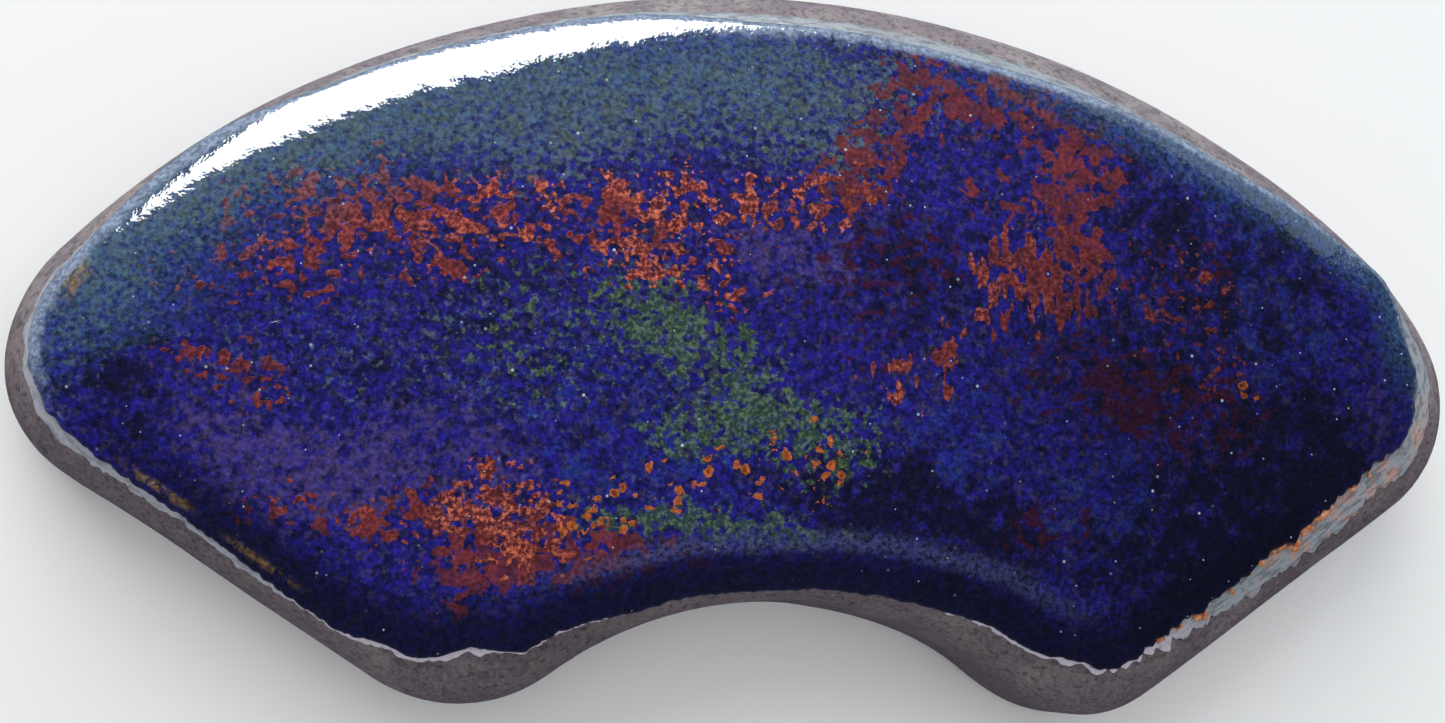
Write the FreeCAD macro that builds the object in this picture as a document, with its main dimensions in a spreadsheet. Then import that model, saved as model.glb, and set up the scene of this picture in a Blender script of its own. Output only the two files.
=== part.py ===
"""A hand-held ceramic guitar slide: a fan-shaped slab with a finger notch, and its fired-on coats.

The slab is a sector of a ring. Its long outer arc faces +Y, its notch faces -Y, its width runs
along X, and its flat, unglazed back lies on Z = 0. The origin is the middle of the back's box.
"""

import FreeCAD
import Part

import math
import os

import Sketcher

PARTS_FOLDER = "parts"
FRONT_PLANE = "XZ_Plane"
PLAN_PLANE = "XY_Plane"

# Every driving dimension, in millimetres or degrees, with what it measures.
DIMENSIONS = (
    ("outer_radius", 42.2, "long outer arc, about the fan's apex"),
    ("notch_radius", 15.2, "finger notch, about the same apex"),
    ("side_angle", 55.9, "straight side, from the fan's middle line"),
    ("corner_radius", 6.0, "plan radius between the outer arc and a side"),
    ("lobe_radius", 6.4, "plan radius between a side and the notch"),
    ("thickness", 10.2, "bare clay at the crest of its crown"),
    ("crown_long_radius", 260.0, "crown of the playing face along X"),
    ("crown_cross_radius", 80.0, "crown of the playing face along Y"),
    ("shoulder_radius", 4.2, "round between the playing face and the wall"),
    ("back_edge_radius", 1.2, "round between the wall and the back"),
    ("pale_build", 0.18, "thickness of the pale under-glaze"),
    ("blue_build", 0.55, "thickness of the blue glaze over it"),
    ("bare_band", 1.30, "bare clay outside the pale glaze, in plan"),
    ("coat_shift_x", -0.70, "how far the coats were poured off centre along X"),
    ("coat_shift_y", -0.50, "how far the coats were poured off centre along Y"),
    ("pale_band", 0.55, "pale glaze outside the blue glaze, in plan"),
    ("bead_seat", 0.35, "share of a copper bead that is sunk in the glaze"),
)

# Copper beads on the pale rim of the right side: share of the way from the lobe to the corner,
# step outwards from the blue glaze's edge, half length and half width in millimetres.
COPPER_BEADS = (
    (0.12, 0.10, 0.46, 0.22),
    (0.22, 0.02, 0.34, 0.24),
    (0.36, 0.12, 0.24, 0.16),
    (0.47, 0.05, 0.55, 0.30),
    (0.57, 0.20, 0.28, 0.20),
    (0.66, 0.12, 0.60, 0.32),
    (0.76, 0.28, 0.36, 0.26),
    (0.86, 0.34, 0.26, 0.18),
)

# Where the fan's apex lies below the origin, so that the box of the outline is centred on it.
LOBE_TIP = (
    "(sqrt((dims.notch_radius + dims.lobe_radius)^2 - dims.lobe_radius^2)"
    " * cos(dims.side_angle * 1deg)"
    " + dims.lobe_radius * sin(dims.side_angle * 1deg) - dims.lobe_radius)"
)
APEX_DROP = f"((dims.outer_radius + {LOBE_TIP}) / 2)"


class Fan:
    """The outline's corner geometry, worked out in numbers about the apex, for a start shape."""

    def __init__(self, sheet, grow):
        self.outer = sheet.outer_radius + grow
        self.notch = sheet.notch_radius - grow
        self.corner = sheet.corner_radius + grow
        self.lobe = sheet.lobe_radius + grow
        self.angle = math.radians(sheet.side_angle)
        self.side_apex = -grow / math.sin(self.angle)
        base_lobe_reach = sheet.notch_radius + sheet.lobe_radius
        lobe_along = math.sqrt(base_lobe_reach**2 - sheet.lobe_radius**2)
        lobe_tip = (
            lobe_along * math.cos(self.angle)
            + sheet.lobe_radius * math.sin(self.angle)
            - sheet.lobe_radius
        )
        self.apex_drop = (sheet.outer_radius + lobe_tip) / 2

    def round_centre(self, reach, radius):
        """The centre of a round that touches the right side and an arc about the apex."""
        along_x, along_y = math.sin(self.angle), math.cos(self.angle)
        inward_x, inward_y = -along_y, along_x
        start_x = radius * inward_x
        start_y = self.side_apex + radius * inward_y
        slope = start_x * along_x + start_y * along_y
        free = start_x**2 + start_y**2 - reach**2
        step = -slope + math.sqrt(slope**2 - free)
        return start_x + step * along_x, start_y + step * along_y

    def side_foot(self, centre, radius):
        """Where the round about that centre touches the right side."""
        return (
            centre[0] + radius * math.cos(self.angle),
            centre[1] - radius * math.sin(self.angle),
        )


def grown(base, grow):
    """An expression for a dimension plus a build-up."""
    return f"{base} + ({grow})"


def sheet_value(sheet, expression):
    """The number that an expression over the sheet's aliases stands for."""
    return float(sheet.evalExpression(expression))


def make_sheet(doc):
    """The spreadsheet that holds every driving dimension."""
    sheet = doc.addObject("Spreadsheet::Sheet", "dims")
    for row, (name, value, meaning) in enumerate(DIMENSIONS, start=1):
        sheet.set(f"A{row}", name)
        sheet.set(f"B{row}", str(value))
        sheet.set(f"C{row}", meaning)
        sheet.setAlias(f"B{row}", name)
    doc.recompute()
    return sheet


def origin_plane(body, role):
    """One of a body's own origin planes."""
    return next(f for f in body.Origin.OriginFeatures if f.Role == role)


def arc_about(centre, radius, start, end):
    """A counter-clockwise arc between two directions, given as points."""
    place = FreeCAD.Vector(centre[0], centre[1], 0)
    first = math.atan2(start[1] - centre[1], start[0] - centre[0])
    last = math.atan2(end[1] - centre[1], end[0] - centre[0])
    circle = Part.Circle(place, FreeCAD.Vector(0, 0, 1), radius)
    return Part.ArcOfCircle(circle, first, last)


def draw_fan(sketch, sheet, grow):
    """Draws the fan's outline, grown outwards by an expression, and binds it to the sheet."""
    fan = Fan(sheet, sheet_value(sheet, grow))
    corner = fan.round_centre(fan.outer - fan.corner, fan.corner)
    lobe = fan.round_centre(fan.notch + fan.lobe, fan.lobe)
    outer_share = fan.outer / math.hypot(*corner)
    notch_share = fan.notch / math.hypot(*lobe)
    right = {
        "outer_end": (corner[0] * outer_share, corner[1] * outer_share),
        "side_top": fan.side_foot(corner, fan.corner),
        "side_foot": fan.side_foot(lobe, fan.lobe),
        "notch_end": (lobe[0] * notch_share, lobe[1] * notch_share),
    }

    def placed(point, side):
        return side * point[0], point[1] - fan.apex_drop

    def line(first, last):
        return Part.LineSegment(
            FreeCAD.Vector(first[0], first[1], 0), FreeCAD.Vector(last[0], last[1], 0)
        )

    r = {name: placed(point, 1) for name, point in right.items()}
    l = {name: placed(point, -1) for name, point in right.items()}
    apex = (0.0, -fan.apex_drop)
    # Counter-clockwise from the right end of the outer arc.
    outer = sketch.addGeometry(
        arc_about(apex, fan.outer, r["outer_end"], l["outer_end"]), False
    )
    left_corner = sketch.addGeometry(
        arc_about(placed(corner, -1), fan.corner, l["outer_end"], l["side_top"]), False
    )
    left_side = sketch.addGeometry(line(l["side_top"], l["side_foot"]), False)
    left_lobe = sketch.addGeometry(
        arc_about(placed(lobe, -1), fan.lobe, l["side_foot"], l["notch_end"]), False
    )
    notch = sketch.addGeometry(
        arc_about(apex, fan.notch, r["notch_end"], l["notch_end"]), False
    )
    right_lobe = sketch.addGeometry(
        arc_about(placed(lobe, 1), fan.lobe, r["notch_end"], r["side_foot"]), False
    )
    right_side = sketch.addGeometry(line(r["side_foot"], r["side_top"]), False)
    right_corner = sketch.addGeometry(
        arc_about(placed(corner, 1), fan.corner, r["side_top"], r["outer_end"]), False
    )
    side_apex = sketch.addGeometry(
        Part.Point(FreeCAD.Vector(0, fan.side_apex - fan.apex_drop, 0)), True
    )
    start, end, middle = 1, 2, 3
    touching = (
        (outer, end, left_corner, start),
        (left_corner, end, left_side, start),
        (left_side, end, left_lobe, start),
        (left_lobe, end, notch, end),
        (notch, start, right_lobe, start),
        (right_lobe, end, right_side, start),
        (right_side, end, right_corner, start),
        (right_corner, end, outer, start),
    )
    for pair in touching:
        sketch.addConstraint(Sketcher.Constraint("Tangent", *pair))
    origin, y_axis = -1, -2
    sketch.addConstraint(Sketcher.Constraint("PointOnObject", outer, middle, y_axis))
    sketch.addConstraint(Sketcher.Constraint("Coincident", notch, middle, outer, middle))
    sketch.addConstraint(Sketcher.Constraint("PointOnObject", side_apex, start, y_axis))
    sketch.addConstraint(
        Sketcher.Constraint("PointOnObject", side_apex, start, left_side)
    )
    sketch.addConstraint(
        Sketcher.Constraint("PointOnObject", side_apex, start, right_side)
    )
    sketch.addConstraint(Sketcher.Constraint("Equal", left_lobe, right_lobe))
    sketch.addConstraint(
        Sketcher.Constraint("Symmetric", right_side, end, left_side, start, y_axis)
    )

    def driven(kind, value, name, expression, *places):
        index = sketch.addConstraint(Sketcher.Constraint(kind, *places, value))
        sketch.renameConstraint(index, name)
        sketch.setExpression(f"Constraints.{name}", expression)

    driven("Radius", fan.outer, "outer", grown("dims.outer_radius", grow), outer)
    driven("Radius", fan.notch, "notch", f"dims.notch_radius - ({grow})", notch)
    driven("Radius", fan.corner, "corner", grown("dims.corner_radius", grow), right_corner)
    driven("Radius", fan.lobe, "lobe", grown("dims.lobe_radius", grow), right_lobe)
    driven(
        "DistanceY", -fan.apex_drop, "apex", f"-{APEX_DROP}", origin, start, outer, middle
    )
    driven(
        "DistanceY",
        fan.side_apex - fan.apex_drop,
        "side_apex",
        f"-{APEX_DROP} - ({grow}) / sin(dims.side_angle * 1deg)",
        origin,
        start,
        side_apex,
        start,
    )
    driven(
        "Angle",
        math.pi / 2 - fan.angle,
        "side",
        "90deg - dims.side_angle * 1deg",
        right_side,
    )


def draw_crown_cut(sketch, sheet, grow):
    """Draws what lies above the crown, seen from the front, and the axis it turns about."""
    build = sheet_value(sheet, grow)
    top = sheet.thickness + build
    radius = sheet.crown_long_radius + build
    reach = sheet.outer_radius
    rise = sheet.thickness
    drop = radius - math.sqrt(radius**2 - reach**2)
    crest = Part.Circle(
        FreeCAD.Vector(0, top - radius, 0), FreeCAD.Vector(0, 0, 1), radius
    )
    lean = math.asin(reach / radius)
    arc = sketch.addGeometry(
        Part.ArcOfCircle(crest, math.pi / 2 - lean, math.pi / 2 + lean), False
    )
    corners = (
        (-reach, top - drop),
        (-reach, top + rise),
        (reach, top + rise),
        (reach, top - drop),
    )
    lines = [
        sketch.addGeometry(
            Part.LineSegment(FreeCAD.Vector(*a, 0), FreeCAD.Vector(*b, 0)), False
        )
        for a, b in zip(corners, corners[1:])
    ]
    turn = top - (sheet.crown_cross_radius + build)
    axis = sketch.addGeometry(
        Part.LineSegment(
            FreeCAD.Vector(-reach, turn, 0), FreeCAD.Vector(reach, turn, 0)
        ),
        True,
    )
    start, end, middle = 1, 2, 3
    origin, y_axis = -1, -2
    for pair in (
        (arc, end, lines[0], start),
        (lines[0], end, lines[1], start),
        (lines[1], end, lines[2], start),
        (lines[2], end, arc, start),
    ):
        sketch.addConstraint(Sketcher.Constraint("Coincident", *pair))
    sketch.addConstraint(Sketcher.Constraint("PointOnObject", arc, middle, y_axis))
    sketch.addConstraint(Sketcher.Constraint("Vertical", lines[0]))
    sketch.addConstraint(
        Sketcher.Constraint("Symmetric", lines[1], start, lines[1], end, y_axis)
    )
    sketch.addConstraint(
        Sketcher.Constraint("Symmetric", axis, start, axis, end, y_axis)
    )
    sketch.addConstraint(Sketcher.Constraint("Vertical", lines[2]))

    def driven(kind, value, name, expression, *places):
        index = sketch.addConstraint(Sketcher.Constraint(kind, *places, value))
        sketch.renameConstraint(index, name)
        sketch.setExpression(f"Constraints.{name}", expression)

    driven("Radius", radius, "along", grown("dims.crown_long_radius", grow), arc)
    driven(
        "DistanceY",
        top - radius,
        "centre",
        "dims.thickness - dims.crown_long_radius",
        origin,
        start,
        arc,
        middle,
    )
    driven(
        "DistanceY",
        turn,
        "turn",
        "dims.thickness - dims.crown_cross_radius",
        origin,
        start,
        axis,
        start,
    )
    driven(
        "DistanceY",
        top + rise,
        "above",
        f"2 * dims.thickness + ({grow})",
        origin,
        start,
        lines[1],
        start,
    )
    driven(
        "DistanceX", 2 * reach, "reach", "2 * dims.outer_radius", lines[1], start, lines[1], end
    )
    driven(
        "DistanceX", 2 * reach, "axis_reach", "2 * dims.outer_radius", axis, start, axis, end
    )


def edges_between(shape, low, high):
    """Names of the edges that lie wholly between two heights and aren't upright."""
    names = []
    for number, edge in enumerate(shape.Edges, start=1):
        box = edge.BoundBox
        upright = box.ZLength > 0.9 * edge.Length
        if box.ZMin >= low and box.ZMax <= high and not upright:
            names.append(f"Edge{number}")
    return names


def crowned_slab(doc, sheet, name, grow):
    """A body of the slab's front, grown by an expression: its pad, crown and shoulder."""
    body = doc.addObject("PartDesign::Body", name)
    plan = body.newObject("Sketcher::SketchObject", f"{name}_plan")
    plan.AttachmentSupport = [(origin_plane(body, PLAN_PLANE), "")]
    plan.MapMode = "FlatFace"
    draw_fan(plan, sheet, grow)
    pad = body.newObject("PartDesign::Pad", f"{name}_pad")
    pad.Profile = plan
    pad.setExpression("Length", grown("dims.thickness", grow))
    doc.recompute()
    block_volume = pad.Shape.Volume

    front = body.newObject("Sketcher::SketchObject", f"{name}_crown")
    front.AttachmentSupport = [(origin_plane(body, FRONT_PLANE), "")]
    front.MapMode = "FlatFace"
    draw_crown_cut(front, sheet, grow)
    groove = body.newObject("PartDesign::Groove", f"{name}_crown_cut")
    groove.Profile = front
    groove.ReferenceAxis = (front, ["Axis0"])
    groove.Angle = 90.0
    groove.Midplane = True
    doc.recompute()
    if not groove.Shape.Volume < block_volume - 1.0:
        raise RuntimeError(f"{name}: the crown cut took nothing off")

    round_top = body.newObject("PartDesign::Fillet", f"{name}_shoulder")
    lowest_rim = sheet.thickness / 2
    round_top.Base = (groove, edges_between(groove.Shape, lowest_rim, math.inf))
    round_top.setExpression("Radius", grown("dims.shoulder_radius", grow))
    doc.recompute()
    return body


def make_clay_body(doc, sheet):
    """The fired clay, with its crowned front, round shoulder and softened back edge."""
    body = crowned_slab(doc, sheet, "clay_body", "0")
    shoulder = body.Tip
    round_back = body.newObject("PartDesign::Fillet", "clay_body_back_edge")
    round_back.Base = (shoulder, edges_between(shoulder.Shape, -0.01, 0.01))
    round_back.setExpression("Radius", "dims.back_edge_radius")
    doc.recompute()
    body.Label = "clay_body"
    return body


def fan_prism(doc, sheet, name, inset):
    """A prism of the fan's outline, drawn in by an expression, from mid-height past the crest."""
    sketch = doc.addObject("Sketcher::SketchObject", f"{name}_plan")
    draw_fan(sketch, sheet, f"-{inset}".replace("+ ", "- "))
    prism = doc.addObject("Part::Extrusion", name)
    prism.Base = sketch
    prism.DirMode = "Custom"
    prism.Dir = FreeCAD.Vector(0, 0, 1)
    prism.setExpression("LengthFwd", "dims.thickness")
    prism.Solid = True
    prism.setExpression("Placement.Base.x", "dims.coat_shift_x")
    prism.setExpression("Placement.Base.y", "dims.coat_shift_y")
    prism.setExpression("Placement.Base.z", "dims.thickness / 2")
    doc.recompute()
    return prism


def make_coat(doc, name, envelope, prism, under):
    """A fired coat: the part of an envelope inside a prism, less what the coat lies on."""
    blank = doc.addObject("Part::Common", f"{name}_blank")
    blank.Base = envelope
    blank.Tool = prism
    skin = doc.addObject("Part::Cut", name)
    skin.Base = blank
    skin.Tool = under
    doc.recompute()
    skin.Label = name
    return skin


def make_copper_beads(doc, sheet, layers):
    """Drops of copper on the rim, each an ellipsoid bitten by the coats that it sits on."""
    fan = Fan(sheet, -(sheet.bare_band + sheet.pale_band))
    corner = fan.round_centre(fan.outer - fan.corner, fan.corner)
    lobe = fan.round_centre(fan.notch + fan.lobe, fan.lobe)
    foot = FreeCAD.Vector(*fan.side_foot(lobe, fan.lobe), 0)
    head = FreeCAD.Vector(*fan.side_foot(corner, fan.corner), 0)
    outward = FreeCAD.Vector(math.cos(fan.angle), -math.sin(fan.angle), 0)
    poured = FreeCAD.Vector(sheet.coat_shift_x, sheet.coat_shift_y, 0)
    ground = Part.makeCompound([layer.Shape for layer in layers])
    drops = []
    for number, (share, step, half_length, half_width) in enumerate(COPPER_BEADS):
        spot = foot + (head - foot) * share + outward * step
        spot += FreeCAD.Vector(0, -fan.apex_drop, 0) + poured
        probe = Part.makeLine(spot, spot + FreeCAD.Vector(0, 0, 2 * sheet.thickness))
        surface = probe.common(ground).BoundBox.ZMax
        drop = doc.addObject("Part::Ellipsoid", f"bead_{number}")
        drop.Radius1 = half_width
        drop.Radius2 = half_length
        drop.Radius3 = half_width
        height = surface + half_width * (1 - 2 * sheet.bead_seat)
        drop.Placement = FreeCAD.Placement(
            FreeCAD.Vector(spot.x, spot.y, height),
            FreeCAD.Rotation(FreeCAD.Vector(0, 0, 1), 90 - sheet.side_angle),
        )
        drops.append(drop)
    beads = doc.addObject("Part::Compound", "bead_blanks")
    beads.Links = drops
    for layer in layers:
        bitten = doc.addObject("Part::Cut", f"beads_off_{layer.Name}")
        bitten.Base = beads
        bitten.Tool = layer
        beads = bitten
    doc.recompute()
    beads.Label = "copper_beads"
    return beads


def check(doc, nodes):
    """Stops the build if any object failed or any sub-part's shape is unusable."""
    for item in doc.Objects:
        if "Invalid" in item.State or "Error" in item.State:
            raise RuntimeError(f"{item.Name} is {item.State}")
    for node in nodes:
        shape = node.Shape
        if shape.isNull() or not shape.isValid() or not shape.Solids:
            raise RuntimeError(f"{node.Label} has no valid solid")
        box = shape.BoundBox
        print(
            f"{node.Label}: {len(shape.Solids)} solids, {shape.Volume:.2f} mm3,"
            f" x {box.XMin:.3f} to {box.XMax:.3f}, y {box.YMin:.3f} to {box.YMax:.3f},"
            f" z {box.ZMin:.3f} to {box.ZMax:.3f}"
        )


def main():
    """Builds the slide and writes each sub-part's shape."""
    doc = FreeCAD.newDocument("fan_slide")
    sheet = make_sheet(doc)
    pale_build = "dims.pale_build"
    blue_build = f"{pale_build} + dims.blue_build"
    pale_inset = "dims.bare_band"
    blue_inset = f"{pale_inset} + dims.pale_band"

    clay = make_clay_body(doc, sheet)
    pale_envelope = crowned_slab(doc, sheet, "pale_envelope", pale_build)
    blue_envelope = crowned_slab(doc, sheet, "blue_envelope", blue_build)
    pale_prism = fan_prism(doc, sheet, "pale_prism", pale_inset)
    blue_prism = fan_prism(doc, sheet, "blue_prism", blue_inset)
    pale = make_coat(doc, "pale_glaze", pale_envelope, pale_prism, clay)
    blue = make_coat(doc, "blue_glaze", blue_envelope, blue_prism, pale_envelope)
    beads = make_copper_beads(doc, sheet, (clay, pale, blue))

    nodes = (clay, pale, blue, beads)
    check(doc, nodes)
    os.makedirs(PARTS_FOLDER, exist_ok=True)
    for node in nodes:
        node.Shape.exportStep(os.path.join(PARTS_FOLDER, f"{node.Label}.step"))


main()
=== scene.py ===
"""A hand-held ceramic guitar slide: smoked clay slab, pale coat, blue crystalline glaze, copper.

Lengths in the design values are millimetres; every mesh is written in metres, in the part's frame.
The girth is the distance round the slab's outline, clockwise from the middle of the long arc, and
the reach is the distance outwards over the shoulder, from where the crowned face ends.
"""

import logging
import math
import random
from dataclasses import dataclass, field, replace
from enum import Enum
from functools import partial
from typing import Callable, Sequence

import bmesh
import bpy
from mathutils import Matrix, Quaternion, Vector, kdtree, noise


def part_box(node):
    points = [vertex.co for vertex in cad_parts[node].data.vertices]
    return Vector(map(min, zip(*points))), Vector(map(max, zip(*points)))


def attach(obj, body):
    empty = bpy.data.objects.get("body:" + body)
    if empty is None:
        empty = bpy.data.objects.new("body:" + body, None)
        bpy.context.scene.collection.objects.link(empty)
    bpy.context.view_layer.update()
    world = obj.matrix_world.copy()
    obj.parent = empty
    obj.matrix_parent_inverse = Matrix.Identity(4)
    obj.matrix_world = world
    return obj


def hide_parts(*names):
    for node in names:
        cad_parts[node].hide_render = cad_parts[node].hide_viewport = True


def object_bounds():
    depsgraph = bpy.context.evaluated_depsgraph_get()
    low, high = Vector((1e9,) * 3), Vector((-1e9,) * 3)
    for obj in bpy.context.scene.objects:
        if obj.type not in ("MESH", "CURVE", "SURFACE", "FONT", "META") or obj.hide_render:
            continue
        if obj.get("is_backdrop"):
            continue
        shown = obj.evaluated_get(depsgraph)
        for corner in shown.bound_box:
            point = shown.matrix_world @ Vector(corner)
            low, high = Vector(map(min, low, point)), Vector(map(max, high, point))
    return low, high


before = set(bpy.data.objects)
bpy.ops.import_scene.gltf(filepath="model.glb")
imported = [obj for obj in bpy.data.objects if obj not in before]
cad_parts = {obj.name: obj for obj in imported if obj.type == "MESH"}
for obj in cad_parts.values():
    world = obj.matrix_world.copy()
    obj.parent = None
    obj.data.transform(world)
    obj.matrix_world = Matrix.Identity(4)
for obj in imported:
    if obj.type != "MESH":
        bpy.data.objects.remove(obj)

MM = 0.001
JOIN_WITHIN = 1e-7
LOG = logging.getLogger("slide")
Colour = tuple[float, float, float]
Socket = bpy.types.NodeSocket
Stretch = Callable[[float], tuple[Vector, float]]


def srgb(red: int, green: int, blue: int) -> Colour:
    """Turns a display colour of 0 to 255 into the linear colour that shaders take."""
    def linear(channel: int) -> float:
        """One channel, from the display's curve to linear."""
        share = channel / 255
        return share / 12.92 if share <= 0.04045 else ((share + 0.055) / 1.055) ** 2.4
    return linear(red), linear(green), linear(blue)


def smooth(value: float, low: float, high: float) -> float:
    """A soft step from 0 at low to 1 at high."""
    share = min(max((value - low) / (high - low), 0.0), 1.0)
    return share * share * (3 - 2 * share)


# ---------------------------------------------------------------- the slab's surface


@dataclass(frozen=True)
class Wander:
    """A value that changes smoothly round the outline, through given stations."""

    stations: Sequence[tuple[float, float]]
    half_girth: float

    def at(self, girth: float) -> float:
        """The value at a girth, eased from station to station and closed at the notch."""
        lap = 2 * self.half_girth
        knots = list(self.stations)
        knots = [(knots[-1][0] - lap, knots[-1][1])] + knots + [(knots[0][0] + lap, knots[0][1])]
        for (first, low), (last, high) in zip(knots, knots[1:]):
            if first <= girth <= last:
                return low + (high - low) * smooth(girth, first, last)
        return knots[0][1]


# How far the hand-cut outline strays outwards from its plan, by girth.
STRAY = (
    (-76.0, 0.05), (-62.0, -0.20), (-50.0, 0.0), (-41.0, 0.35), (-36.0, 0.05), (-26.0, 0.15),
    (-12.0, -0.05), (4.0, -0.02), (20.0, 0.10), (31.0, 0.32), (36.0, -0.08), (48.0, 0.05),
    (61.0, 0.25), (67.5, -0.62), (76.0, -0.10),
)


@dataclass(frozen=True)
class FanOutline:
    """The slab's plan: a sector of a ring with rounded corners and lobes."""

    outer_radius: float = 42.2
    notch_radius: float = 15.2
    side_angle: float = math.radians(55.9)
    corner_radius: float = 6.0
    lobe_radius: float = 6.4

    def round_centre(self, reach: float, radius: float) -> Vector:
        """The centre of a round that touches the right side and an arc about the apex.

        Args:
            reach: distance of the centre from the apex.
            radius: radius of the round.

        Returns:
            The centre, measured from the apex.
        """
        along = math.sqrt(reach**2 - radius**2)
        side = Vector((math.sin(self.side_angle), math.cos(self.side_angle)))
        inward = Vector((-side.y, side.x))
        return along * side + radius * inward

    @property
    def corner(self) -> Vector:
        """The centre of the right corner's round."""
        return self.round_centre(self.outer_radius - self.corner_radius, self.corner_radius)

    @property
    def lobe(self) -> Vector:
        """The centre of the right lobe."""
        return self.round_centre(self.notch_radius + self.lobe_radius, self.lobe_radius)

    @property
    def apex_drop(self) -> float:
        """How far the apex lies below the part's origin."""
        return (self.outer_radius + self.lobe.y - self.lobe_radius) / 2

    def runs(self) -> list[tuple[float, Stretch]]:
        """The five stretches of the right half, each its length and a function along it.

        Returns:
            Pairs of length and function; the function gives a point from the apex and the
            clockwise angle of the outward normal.
        """
        corner, lobe = self.corner, self.lobe
        corner_turn = math.atan2(corner.x, corner.y)
        lobe_turn = math.atan2(lobe.x, lobe.y)
        side_turn = math.pi / 2 + self.side_angle
        side_normal = Vector((math.sin(side_turn), math.cos(side_turn)))
        head = corner + self.corner_radius * side_normal
        foot = lobe + self.lobe_radius * side_normal

        def arc(centre: Vector, radius: float, first: float, way: int) -> Stretch:
            """A stretch on a circle; a negative radius is a hollow one."""
            def at(step: float) -> tuple[Vector, float]:
                """The point and the normal's angle after a step along the stretch."""
                turn = first + way * step / abs(radius)
                return centre + radius * Vector((math.sin(turn), math.cos(turn))), turn
            return at

        def side(step: float) -> tuple[Vector, float]:
            """The point and the normal's angle after a step down the straight side."""
            return head + (foot - head).normalized() * step, side_turn

        apex = Vector((0, 0))
        return [
            (self.outer_radius * corner_turn, arc(apex, self.outer_radius, 0, 1)),
            (
                self.corner_radius * (side_turn - corner_turn),
                arc(corner, self.corner_radius, corner_turn, 1),
            ),
            ((foot - head).length, side),
            (
                self.lobe_radius * (math.pi + lobe_turn - side_turn),
                arc(lobe, self.lobe_radius, side_turn, 1),
            ),
            (
                self.notch_radius * lobe_turn,
                arc(apex, -self.notch_radius, math.pi + lobe_turn, -1),
            ),
        ]

    @property
    def half_girth(self) -> float:
        """The length of the outline's right half."""
        return sum(length for length, _ in self.runs())

    def at(self, girth: float) -> tuple[Vector, Vector]:
        """The outline's point and outward normal at a girth.

        Args:
            girth: distance from the middle of the long arc, negative on the left half.

        Returns:
            The point in the part's frame, and the unit normal.
        """
        side = 1 if girth >= 0 else -1
        left = min(abs(girth), self.half_girth)
        point, turn = Vector((0, 0)), 0.0
        for length, along in self.runs():
            point, turn = along(min(left, length))
            if left <= length:
                break
            left -= length
        normal = Vector((side * math.sin(turn), math.cos(turn)))
        stray = Wander(STRAY, self.half_girth).at(girth)
        return Vector((side * point.x, point.y - self.apex_drop)) + stray * normal, normal


@dataclass(frozen=True)
class Column:
    """Where the surface stands at one girth: the shoulder's centre, start and spine point."""

    girth: float
    normal: Vector
    centre: Vector
    centre_height: float
    lean: float
    start: Vector
    spine: Vector
    edge: float = 0.0


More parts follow.
